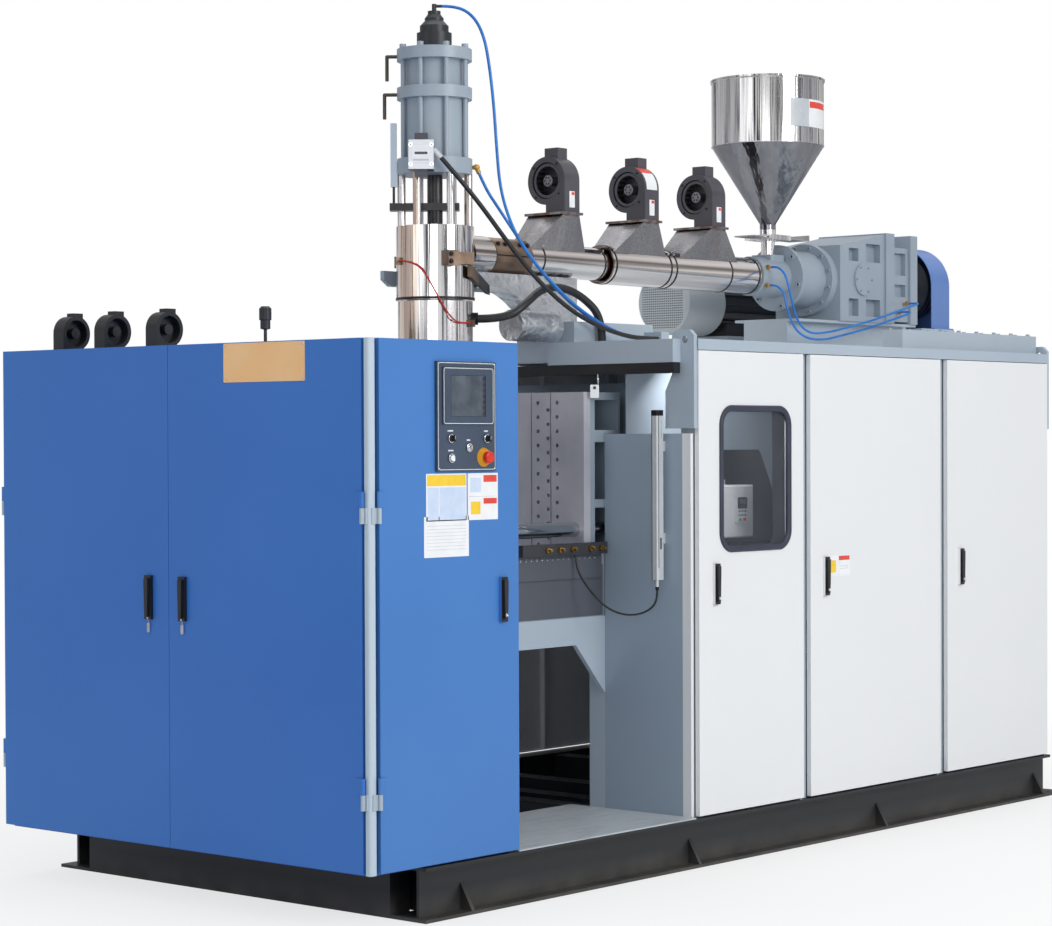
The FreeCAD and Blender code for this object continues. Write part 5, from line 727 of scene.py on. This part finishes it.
# Platens: machined steel plates with tapped holes and upright grooves, oiled and cloudy in tone,
# with fine milling marks. They are bolted to ribbed castings painted machine grey.
platen_steel, tree, surface, spot = finish("machined_platen_steel", "#B4B5BE", 0.38,
                                           ("#A5A6B0", "#CFCDD2"), 420, contrast=1.6, metallic=0.25)
milled_spot = add_node(tree, "Mapping", {"Vector": spot, "Scale": (1, 1, 0.06)})
milled = add_node(tree, "TexNoise", {"Vector": milled_spot, "Scale": 420.0, "Detail": 2.0})
bump = add_node(tree, "Bump", {"Height": milled, "Strength": 0.4, "Distance": 0.0002})
tree.links.new(bump.outputs[0], surface.inputs["Normal"])
for node in ("mould_plate_left", "mould_plate_right"):
    wear(node, platen_steel)
casting_paint = enamel("grey_casting_paint", ("#8795A2", "#98A5B1"), 0.42, peel=0.3, patch=500)[0]
for node in ("platen_box_left", "platen_box_right"):
    wear(node, casting_paint)


# Tie bars: induction-hardened steel rods, hard chromed and ground. Clamp cylinders: painted
# black.
wear("tie_bars", finish("hard_chromed_rod", "#D2D3D6", 0.09, ("#BDBEC2", "#D8D9DB"), 200, (1.2, 0.01),
                        stretch=(0.1, 1, 1), metallic=1.0)[0])
cylinder_paint = enamel("black_cylinder_paint", ("#1E2024", "#2B2E33"), 0.4, peel=0.1)[0]
wear("clamp_cylinders", cylinder_paint)


# Manifold fittings: six-sided brass hose tails along the front of the manifold, with a row of
# small chromed plugs below them.
brass = finish("turned_brass", "#C9A15A", 0.24, ("#B98F4B", "#D8B470"), 12, (1.2, 0.02), metallic=1.0)[0]


def bolts(name, feet, direction, radius, height, material, body, sides=24):
    """Cap screws: a head of that radius and height on a washer, its dark socket sunk to half height."""
    socket = radius * 0.6
    cap = [(0, -0.2), (radius * 1.5, -0.2), (radius * 1.5, radius * 0.2), (radius, radius * 0.2),
           (radius, height - radius * 0.15), (radius * 0.85, height), (socket, height),
           (socket, height * 0.5), (0, height * 0.5)]
    base = [(0, height * 0.4), (socket, height * 0.4), (socket, height * 0.56), (0, height * 0.56)]
    turned(name + "_sockets", base, feet, direction, nylon, body, 6, smooth=False)
    turned(name, cap, feet, direction, material, body, sides, smooth=False)


tail_profile = [(0, 0), (11, 0), (11, 10), (7, 10.5), (7, 15), (8.5, 16), (7, 21), (8.5, 22), (7, 28),
                (0, 28)]
tail_feet = [(x, -547.2, 1228) for x in (-990, -915, -840, -730, -665)]
turned("manifold_tails", tail_profile, tail_feet, (0, -1, 0), brass, "frame", 6, smooth=False)
plug_feet = [(x, -517.2, 1190) for x in np.arange(-1110, -640, 32)]
bolts("manifold_plugs", plug_feet, (0, -1, 0), 3.5, 4, chrome, "frame")


# Light curtains: extruded aluminium bars, clear anodised, with a dark window strip along the
# side that faces the opening, black moulded end caps and a small green lamp.
curtain_skin, tree, surface, spot = finish("clear_anodised_aluminium", "#D3D5D8", 0.3,
                                           ("#CBCDD1", "#DEE0E2"), 150, (1.2, 0.03),
                                           stretch=(1, 1, 0.05), metallic=0.35)
for low_x, high_x in ((-662, -659.5), (-1590.5, -1588)):
    tinted(tree, surface, inside(tree, spot, (low_x, -803, 1100), (high_x, -780, 1800)), "#15161B")
for z in (1060, 1766):
    tinted(tree, surface, inside(tree, spot, (-2000, -860, z - 22), (0, -780, z + 22)), "#1B1B1E")
wear("light_curtains", curtain_skin)
light_green = finish("pale_green_lamp", "#7CC79B", 0.3, ("#6FBF90", "#93D3AD"), 30, ior=1.58)[0]
bar_front = -830.0
for name, x, z, size, thick, corner, material, edge in (
        ("curtain_lamp", -637, 1690, (5, 70), 0.6, 2, light_green, 0.2),
        ("curtain_slot", -654, 1450, (2.5, 590), 0.6, 1, pointer, 0.2),
        ("curtain_label", -641, 1250, (9, 44), 0.4, 2, nylon, 0.15),
        ("curtain_label_field", -641, 1190, (9, 40), 0.4, 1, grey_line_vinyl, 0.15)):
    plate(name, (x, bar_front, z), right, up, size, thick, corner, material, "frame", edge)


# Proximity sensor: white moulded housing with a dark lens, hung under the cross beam that is
# painted near black as shade, on a chromed stud of 8 mm.
seen_right = (0.651, -0.759, 0)
plate("sensor_housing", (-672, -526, 1842), seen_right, up, (34, 52), 22, 3, white_vinyl, "frame", edge=1)
plate("sensor_lens", (-688.7, -540.3, 1856), seen_right, up, (12, 12), 2, 5, pointer, "frame")
stud = [(0, 0), (4, 0), (4, 44), (0, 44)]
turned("sensor_hanger", stud, (-650, -526, 1865), (0, 0, 1), chrome, "frame", 16)


# Inverter on the cabinet's inner wall: grey ABS housing with a dark keypad, seen through the
# window. Behind it an eight-sided guard plate of black painted steel covers the wall.
housing, tree, surface, spot = finish("pale_abs_housing", "#C8C8CC", 0.42, ("#C3C3C8", "#D0D0D3"), 60,
                                      (1.2, 0.06), ior=1.54)
tinted(tree, surface, inside(tree, spot, (-2000, -561, 0), (2000, -300, 4000)), pale_tones[0])
wear("inverter", housing)
wall_face, guard_depth = -560.0, 5.0
guard_outline = np.array([(27, 1215), (463, 1215), (473, 1240), (473, 1440), (390, 1590), (372, 1609),
                          (62, 1609), (27, 1565)], float)
guard_rows = []
middle = guard_outline.mean(0)
for share, lift in ((0, 0), (1, 0), (1, guard_depth), (0, guard_depth)):
    row = middle + (guard_outline - middle) * share
    guard_rows.append(np.column_stack([row[:, 0], np.full(8, wall_face - lift - 0.3), row[:, 1]]))
shell("wall_guard_plate", np.array(guard_rows), cylinder_paint, "frame")
pad_x, keypad_face = 60.0, -708.0
small_key, wide_key = (13, 8), (19, 12)
plate("keypad_bezel", (pad_x, keypad_face, 1392), right, up, (62, 46), 3, 6, pointer, "frame")
plate("keypad_display", (pad_x, keypad_face - 3, 1398), right, up, (42, 20), 0.4, 1, display, "frame",
      edge=0.1)
key_green = finish("green_silicone_key", "#2FA37F", 0.5, ("#2A9A77", "#3BB28D"), 6)[0]
key_red = finish("red_silicone_key", "#D8394A", 0.5, ("#CE3343", "#E24C5B"), 6)[0]
key_grey = finish("grey_silicone_key", "#6E7E86", 0.5, ("#66767E", "#7C8B93"), 6)[0]
for row, z in enumerate((1358, 1342), 1):
    for column, x in enumerate((-20, 0, 20), 1):
        plate("keypad_key_%d_%d" % (row, column), (pad_x + x, keypad_face, z), right, up, small_key, 2, 2,
              key_grey, "frame")
plate("keypad_run", (pad_x - 15, keypad_face, 1324), right, up, wide_key, 2, 3, key_green, "frame")
plate("keypad_stop", (pad_x + 15, keypad_face, 1324), right, up, wide_key, 2, 3, key_red, "frame")


# Barrel covers: 2 mm stainless sheet rolled round the heaters, mirror polished. Draw marks run
# along the sheet, with straw-coloured heat tint between them.
def polished_sheet(name, axis, streak, tint_share, roughness=0.1, wave=0.6):
    """Bright rolled sheet: streaks along one axis in tone, gloss and straw tint, and a slight wave."""
    material, tree, surface, spot = new_finish(name, "#CFCDCB", roughness, metallic=1.0)
    along = [1.0, 1.0, 1.0]
    along[axis] = 0.03
    drawn = add_node(tree, "Mapping", {"Vector": spot, "Scale": along})
    streaks = add_node(tree, "TexNoise", {"Vector": drawn, "Scale": 600 / streak, "Detail": 5.0,
                                          "Roughness": 0.65})
    even = add_node(tree, "MapRange", {"Value": streaks, "From Min": 0.35, "From Max": 0.65})
    tone = add_node(tree, "MixRGB", {0: even, 1: linear("#B9B7BC"), 2: linear("#F8F7F5")})
    tree.links.new(tone.outputs[0], surface.inputs["Base Color"])
    rub = add_node(tree, "MapRange", {"Value": streaks, "From Min": 0.3, "From Max": 0.75,
                                      "To Min": roughness * 2.0, "To Max": roughness * 0.6})
    tree.links.new(rub.outputs[0], surface.inputs["Roughness"])
    heat = add_node(tree, "TexNoise", {"Vector": drawn, "Scale": 9.0, "Detail": 4.0})
    straw = add_node(tree, "MapRange", {"Value": heat, "From Min": 0.54, "From Max": 0.64})
    tinted(tree, surface, straw.outputs[0], "#B98A55", tint_share)
    ripple = add_node(tree, "TexNoise", {"Vector": drawn, "Scale": 1400 / streak, "Detail": 1.0})
    bump = add_node(tree, "Bump", {"Height": ripple, "Strength": wave, "Distance": 0.006})
    tree.links.new(bump.outputs[0], surface.inputs["Normal"])
    return material, tree, surface, spot


barrel_z = 2385.0
barrel_sheet, tree, surface, spot = polished_sheet("polished_barrel_sheet", 0, 60, 0.2)
for x in (-150, -135):
    tinted(tree, surface, inside(tree, spot, (x - 9, -300, 2200), (x + 9, 100, 2600)), "#5A4034", 0.85)
wear("barrel_covers", barrel_sheet)


# Straps: blued steel bands drawn round the barrel covers, each with a bolted ear. Every hoop is
# 1.5 mm thick and 7 or 8 mm wide.
band_steel = finish("blued_band_steel", "#3B3A3E", 0.4, ("#2F2E33", "#4B4743"), 40, (1.5, 0.04),
                    metallic=0.8)[0]
straps = ((-560, 68, 7), (-172, 68, 8), (-112, 81, 8), (262, 81, 8), (300, 81, 8), (700, 81, 7),
          (905, 81, 8))
strap_gap, strap_skin = 0.15, 1.6
for number, (x, radius, width) in enumerate(straps, 1):
    inner, outer = radius + strap_gap, radius + strap_skin
    hoop = [(inner, 0), (outer, 0), (outer, width), (inner, width), (inner, 0)]
    name = "barrel_strap_%d" % number
    turned(name, hoop, (x, line_y, barrel_z), (1, 0, 0), band_steel, "frame", 64)
    ear_place = (x + width / 2, line_y - (radius + 1) * 0.72, barrel_z + (radius + 1) * 0.72)
    bolts(name + "_ear", [ear_place], (0, -0.7, 0.7), 4.5, 9, chrome, "frame", 6)


# Barrel, screw and clamp ring: alloy steel that has run at 200 degrees, so its skin is bronze
# brown and matt, with darker blotches. The ring's halves are held by cap screws.
wear("barrel", finish("heat_browned_steel", "#7A6656", 0.36, ("#5E4E45", "#A08671"), 90, (2, 0.08),
                      contrast=1.4, metallic=0.75)[0])
wear("screw", finish("nitrided_screw_steel", "#8E8E92", 0.28, ("#7D7D82", "#9F9FA3"), 60, (1.2, 0.03),
                     stretch=(1, 0.1, 0.1), metallic=1.0)[0])
ring_turn, ring_radius = np.radians(38), 75
ring_feet = [(x, line_y - ring_radius * math.cos(ring_turn), barrel_z + ring_radius * math.sin(ring_turn))
             for x in (-838, -796, -706, -662)]
bolts("clamp_ring_screws", ring_feet, (0, -math.cos(ring_turn), math.sin(ring_turn)), 7, 9, band_steel,
      "frame")


# Cooling hoods: galvanised sheet, folded and welded, greyed, with rust-brown weld lines at the
# flanges under the fans. The spangle is 8 mm.
galvanised, tree, surface, spot = polished_sheet("galvanised_sheet", 2, 150, 0.25, roughness=0.24,
                                                 wave=0.35)
spangle = add_node(tree, "TexVoronoi", {"Vector": spot, "Scale": 120.0})
crystal = add_node(tree, "MapRange", {"Value": spangle.outputs["Distance"], "To Min": 0.6, "To Max": 0.8})
tinted(tree, surface, crystal.outputs[0], "#6C6B72")
rust = add_node(tree, "TexNoise", {"Vector": spot, "Scale": 30.0, "Detail": 6.0})
edge_rust = add_node(tree, "MapRange", {"Value": rust, "From Min": 0.35, "From Max": 0.6})
flange_zone = inside(tree, spot, (-2000, -400, 2564), (2000, 200, 2600))
at_flange = add_node(tree, "Math", {0: edge_rust, 1: flange_zone}, operation="MULTIPLY")
tinted(tree, surface, at_flange.outputs[0], "#6E4A36", 0.8)
wear("cooling_ducts", galvanised)


# Blowers: die-cast aluminium scrolls painted black, pressed steel wheels inside with a pale hub
# of six holes, cap screws round the inlet and small blank plates on the outlet.
wear("blower_casings", enamel("black_blower_paint", ("#434249", "#55535A"), 0.34, peel=0.12,
                              patch=120)[0])
wheel_steel = finish("dark_pressed_steel", "#5A595F", 0.42, ("#504F55", "#67666C"), 40, (2, 0.05),
                     metallic=0.5)[0]
hub_cast = finish("grey_die_cast_hub", "#85858A", 0.4, ("#7A7A80", "#95959A"), 12, (1.5, 0.05),
                  metallic=0.6)[0]
fan_faces = (-470.0, 58.0, 532.0)
fan_z, inlet_screw_radius, hub_hole_radius = 2711.0, 86, 14
hub_back, hub_web = 63.7, 54.8
outlet_back, outlet_front, outlet_z = 47.5, 98, 2632
sixths = np.arange(6) * np.pi / 3
hub_profile = [(14.2, 0), (18, 0), (20, 8), (18, 44), (24, 50), (24, 53), (21, 55), (0, 55), (14.2, 0)]
hole_disc = [(0, 0), (4.5, 0), (4.5, 0.5), (0, 0.5)]


def bolt_circle(x, radius, height, angles):
    """Points of a circle round an axis along X over the machine line, at a height in mm."""
    return [(x, line_y + radius * math.cos(a), height + radius * math.sin(a)) for a in angles]


for number, face in enumerate(fan_faces, 1):
    body = "blower_wheel_%d" % number
    wear(body, wheel_steel)
    hub_x = face + hub_back
    turned("fan_hub_%d" % number, hub_profile, (hub_x, line_y, fan_z), (-1, 0, 0), hub_cast, body)
    holes = bolt_circle(hub_x - hub_web, hub_hole_radius, fan_z, sixths)
    turned("fan_hub_holes_%d" % number, hole_disc, holes, (-1, 0, 0), nylon, body, 16, smooth=False)
    rim_feet = bolt_circle(face, inlet_screw_radius, fan_z, np.radians([40, 130, 220, 310]))
    bolts("fan_screws_%d" % number, rim_feet, (-1, 0, 0), 3.5, 3, band_steel, "frame")
    outlet = (face + outlet_back, line_y - outlet_front, outlet_z)
    plate("fan_plate_%d" % number, outlet, right, up, (34, 66), 0.4, 2, white_vinyl, "frame", edge=0.1)
    plate("fan_plate_mark_%d" % number, (outlet[0] + 6, outlet[1] - 0.4, outlet_z + 24), right, up,
          (18, 12), 0.1, 1, red_vinyl, "frame", edge=0.05)

# The middle blower carries a curved blank field round its drum: white with a red head.
sheet_turn = np.radians(np.linspace(20, 92, 20))
drum_radius = 98.1
band_section = [(12, drum_radius), (12, drum_radius + 0.5), (83, drum_radius + 0.5), (83, drum_radius)]
for name, low, high, film_colour in (("fan_band_red", 0, 8, red_vinyl),
                                     ("fan_band_white", 7, 20, white_vinyl)):
    rows = [[(fan_faces[1] + x, line_y - reach * math.sin(a), fan_z + reach * math.cos(a))
             for x, reach in band_section] for a in sheet_turn[low:high]]
    shell(name, np.array(rows), film_colour, "frame")


# Feed housing and gearbox: grey iron castings and welded plate, filled and sprayed pale
# grey-blue. Cap screws hold the flanges and the round cover; the four water ports are brass.
gear_paint, tree, surface, spot = enamel("pale_gearbox_paint", ("#93A0AD", "#A3AFBA"), 0.34, peel=0.25,
                                         patch=350)
for low, high in (((930, -240, 2325), (985, -199, 2440)), ((1870, -310, 2235), (1965, -275.5, 2300))):
    tinted(tree, surface, inside(tree, spot, low, high), "#B99252")
wear("feed_housing", gear_paint)
wear("gearbox", gear_paint)
disc_turn = np.radians(np.arange(0, 360, 30) + 15)
bolts("housing_disc_screws", bolt_circle(1142, 132, barrel_z, disc_turn[::2]), (-1, 0, 0), 10, 9,
      gear_paint, "frame")
bolts("gearbox_flange_screws", bolt_circle(1355, 150, barrel_z, disc_turn), (-1, 0, 0), 7, 8, gear_paint,
      "frame")
cover_x, cover_face, cover_z, cover_screw_radius = 1581.0, -300.0, 2390.0, 62
cover_feet = [(cover_x + cover_screw_radius * math.cos(a), cover_face,
               cover_z + cover_screw_radius * math.sin(a)) for a in sixths]
bolts("gearbox_cover_screws", cover_feet, (0, -1, 0), 5, 5, gear_paint, "frame")
port_nut = [(7.05, 2), (12, 2), (12, 13), (10, 15), (7.05, 15), (7.05, 2)]
for name, foot, side in (("port_nut_upper", (1950, -290, 2292), -1),
                         ("port_nut_lower", (1885, -290, 2250), -1),
                         ("feed_nut_upper", (962, -205, 2422), 1),
                         ("feed_nut_lower", (955, -205, 2340), 1)):
    turned(name, port_nut, foot, (0, side, 0), brass, "frame", 6, smooth=False)


# Drive: finned motor in dark grey paint with a pale perforated cowl, turned iron pulleys, rubber
# belts, and a blue sheet guard round them.
motor_paint, tree, surface, spot = enamel("dark_grey_motor_paint", ("#2C2E33", "#3A3D43"), 0.4, peel=0.2,
                                          patch=200)
tinted(tree, surface, inside(tree, spot, (990, 200, 2100), (1289, 700, 2500)), "#B9C0C5")
cells = add_node(tree, "VectorMath", {0: spot, 3: 90.0}, operation="SCALE")
cell = add_node(tree, "VectorMath", {0: cells}, operation="FRACTION")
cell = add_node(tree, "VectorMath", {0: cell, 1: (0.5, 0.5, 0.5)}, operation="SUBTRACT")
cell_yz = add_node(tree, "VectorMath", {0: cell, 1: (0.0, 1.0, 1.0)}, operation="MULTIPLY")
cell_off = add_node(tree, "VectorMath", {0: cell_yz}, operation="LENGTH")
hole = add_node(tree, "Math", {0: cell_off.outputs["Value"], 1: 0.3}, operation="LESS_THAN")
cowl_face = inside(tree, spot, (995, 310, 2170), (1003, 550, 2410))
in_face = add_node(tree, "Math", {0: hole, 1: cowl_face}, operation="MULTIPLY")
tinted(tree, surface, in_face.outputs[0], "#202227")
wear("drive_motor", motor_paint)
pulley_iron = finish("turned_pulley_iron", "#7D7F83", 0.35, ("#6C6E73", "#8E9094"), 50, (1.2, 0.03),
                     metallic=0.9)[0]
wear("motor_pulley", pulley_iron)
wear("drive_pulley", pulley_iron)
wear("drive_belts", rubber)
wear("belt_guard", enamel("blue_guard_paint", ("#5E80BE", "#6E90CC"), 0.38)[0])


# Hopper: stainless sheet, rolled drum with a beaded rim and a rolled cone, polished. The drum
# mirrors its surroundings in upright stripes, and the cone is painted darker as painted shade.
hopper_sheet, tree, surface, spot = polished_sheet("bright_hopper_sheet", 2, 34, 0.0, wave=0.45)
# Painted shade: the down-facing cone of the same sheet is darkened.
tinted(tree, surface, inside(tree, spot, (700, -500, 2600), (1500, 300, 2972.5)), "#77797F", 0.85)
wear("hopper", hopper_sheet)
wear("hopper_gate", finish("zinc_plated_gate", "#B9BABC", 0.3, ("#ABACAF", "#C8C9CB"), 40, (1.5, 0.03),
                           stretch=(0.1, 1, 1), metallic=0.9)[0])
hopper_x, hopper_r, bead_r, rim_z = 1082.0, 253.0, 2.4, 3262
bead_turn = np.linspace(0, 2 * np.pi, 12, endpoint=False)
bead = [(hopper_r + bead_r + bead_r * math.cos(a), rim_z + bead_r * math.sin(a)) for a in bead_turn]
turned("hopper_bead", bead + bead[:1], (hopper_x, line_y, 0), (0, 0, 1), hopper_sheet, "frame", 96)
seam = [(hopper_r + 0.1, 2971), (hopper_r + 1.6, 2972), (hopper_r + 1.6, 2976), (hopper_r + 0.1, 2977),
        (hopper_r + 0.1, 2971)]
turned("hopper_seam", seam, (hopper_x, line_y, 0), (0, 0, 1), hopper_sheet, "frame", 96)


def wrapped(name, bearings, heights, radius, film_colour):
    """Film laid round the hopper's drum between two bearings in degrees and two heights."""
    a = np.radians(np.linspace(bearings[0], bearings[1], 16))[:, None]
    reach = radius + np.array([0.2, 0.7, 0.7, 0.2])
    level = np.repeat(heights, 2)
    points = np.stack([hopper_x + reach * np.cos(a), line_y + reach * np.sin(a), level + a * 0], -1)
    shell(name, points, film_colour, "frame")


plate_heights = (3044, 3167)
wrapped("hopper_plate_grey", (-121, -98), plate_heights, hopper_r, grey_line_vinyl)
wrapped("hopper_plate_white", (-98, -62), plate_heights, hopper_r, white_vinyl)
wrapped("hopper_plate_red", (-97, -63), (3129, 3157), hopper_r + 0.5, red_vinyl)


# Extruder bed: welded stand, fork and deck pieces in pale grey-blue paint. The lagged pipe and
# the fork below the barrel are wrapped in crumpled aluminium foil, and the deck rail is bolted
# down.
bed_paint, tree, surface, spot = enamel("pale_bed_paint", ("#A4B1BC", "#B2BEC8"), 0.34, peel=0.15,
                                        patch=500)
pipe_zone = inside(tree, spot, (-902, -354, 2038), (-649, -226, 2166))
fork_zone = inside(tree, spot, (-990, -165, 2060), (-333, -55, 2320))
foil_zone = add_node(tree, "Math", {0: pipe_zone, 1: fork_zone}, operation="MAXIMUM").outputs[0]
tinted(tree, surface, foil_zone, "#D6D9DD")
tree.links.new(foil_zone, surface.inputs["Metallic"])
foil = add_node(tree, "TexVoronoi", {"Vector": spot, "Scale": 28.0}, feature="F2")
crumple = add_node(tree, "Math", {0: foil.outputs["Distance"], 1: foil_zone}, operation="MULTIPLY")
skin = surface.inputs["Normal"].links[0].from_socket
crumpled = add_node(tree, "Bump", {"Height": crumple, "Strength": 1.0, "Distance": 0.007,
                                   "Normal": skin})
tree.links.new(crumpled.outputs[0], surface.inputs["Normal"])
wear("extruder_bed", bed_paint)
hexagon = [(0, -0.2), (9, -0.2), (9, 8), (7.5, 9.5), (0, 9.5)]
rail_feet = [(x, y, 2122) for x in np.arange(975, 2070, 150) for y in (-900, -834)]
turned("rail_bolts", hexagon, rail_feet, (0, 0, 1), gear_paint, "frame", 6, smooth=False)


# Head covers: polished stainless sheet rolled round the heated head, with upright streaks, and
# a dark steel band where the upper cover laps the lower one.
wear("head_cover", polished_sheet("polished_head_sheet", 2, 30, 0.45)[0])
lap_inner, lap_outer, lap_foot, lap_top = 152.2, 154.2, 2196, 2206
lap = [(lap_inner, lap_foot), (lap_outer, lap_foot), (lap_outer, lap_top), (lap_inner, lap_top),
       (lap_inner, lap_foot)]
turned("head_lap_band", lap, (head_x, line_y, 0), (0, 0, 1), band_steel, "frame", 96)


# Head body and clamp blocks: heat-browned steel bolted round the covers. The strut behind them
# is darker, and the columns are stained bright steel.
body_steel, tree, surface, spot = finish("browned_clamp_steel", "#8A7462", 0.4, ("#66564B", "#B0957C"), 60,
                                         (2, 0.08), contrast=1.4, metallic=0.7)
tinted(tree, surface, inside(tree, spot, (-1030, -300, 2220), (-870, -150, 2322)), "#2C2A2C")
wear("head_body", body_steel)
wear("head_columns", polished_sheet("stained_column_steel", 2, 24, 0.5, roughness=0.22)[0])
clamp_bearing, clamp_front = -55.0, 190.0
outwards = round_head(1, clamp_bearing, 0) - round_head(0, clamp_bearing, 0)
screw_feet = [round_head(clamp_front, clamp_bearing, z, -50) for z in (2338, 2366)]
bolts("clamp_screws", screw_feet, outwards, 7, 8, band_steel, "frame")


# Crosshead, two-stage cylinder and actuator: machined steel plate and tube. The cylinder is
# sprayed like the gearbox, the crosshead is black oxide and the actuator is painted black.
wear("crosshead", finish("black_oxide_steel", "#3A3A3E", 0.35, ("#2C2C30", "#4E4C4D"), 50, (1.5, 0.05),
                         metallic=0.75)[0])
wear("accumulator_cylinder", gear_paint)
wear("head_actuator", cylinder_paint)


# Head fittings: valve block of anodised aluminium with dark coils, steel pressure pipes, brass
# elbow, black conduit gland and a pale position scale tube.
fitting_steel, tree, surface, spot = finish("bronze_brown_fitting_steel", "#7A6656", 0.34,
                                            ("#5E4E45", "#A08671"), 60, (2, 0.06), metallic=0.6)
for low, high, tone in (((-1264, -9, 2630), (-1224, 32, 2890), "#AEB9C6"),
                        ((-1370, -262, 2655), (-1233, -110, 2830), "#D5D8DC"),
                        ((-1290, 0, 2895), (-1235, 60, 3160), "#57504A"),
                        ((-1060, -262, 2690), (-1015, -215, 2735), "#C39B52"),
                        ((-1070, -262, 2095), (-1000, -215, 2150), "#1B1B1E")):
    tinted(tree, surface, inside(tree, spot, low, high), tone)
for low_z, high_z in ((2655, 2687.5), (2799.5, 2830)):
    tinted(tree, surface, inside(tree, spot, (-1370, -262, low_z), (-1233, -110, high_z)), "#4C4E54")
wear("head_fittings", fitting_steel)
valve_face = 208.0
for name, lift, z, size, thick, corner, material, edge in (
        ("valve_plate", 0, 2745, (72, 66), 2, 4, white_vinyl, 0.4),
        ("valve_plate_mark", 2, 2748, (50, 10), 0.3, 4, pointer, 0.1),
        ("valve_plate_edge", 2, 2722, (62, 7), 0.3, 2, grey_line_vinyl, 0.1)):
    plate(name, round_head(valve_face + lift, -90, z, -45), seen_right, up, size, thick, corner, material,
          "frame", edge)
valve_screws = [round_head(valve_face, -90, z, side) for side in (-85, -5) for z in (2706, 2780)]
towards_photo = (-0.759, -0.651, 0)
bolts("valve_screws", valve_screws, towards_photo, 5, 5, chrome, "frame")


# Roof fittings: black moulded blowers on the cabinet roof and a black signal lamp stalk.
# Hydraulic unit: welded tank in machine grey behind the white doors.
wear("roof_fittings", finish("black_roof_moulding", "#1D1E21", 0.42, ("#191A1D", "#2A2B2F"), 60,
                             (2, 0.08), ior=1.53)[0])
wear("hydraulic_unit", clamp_paint)
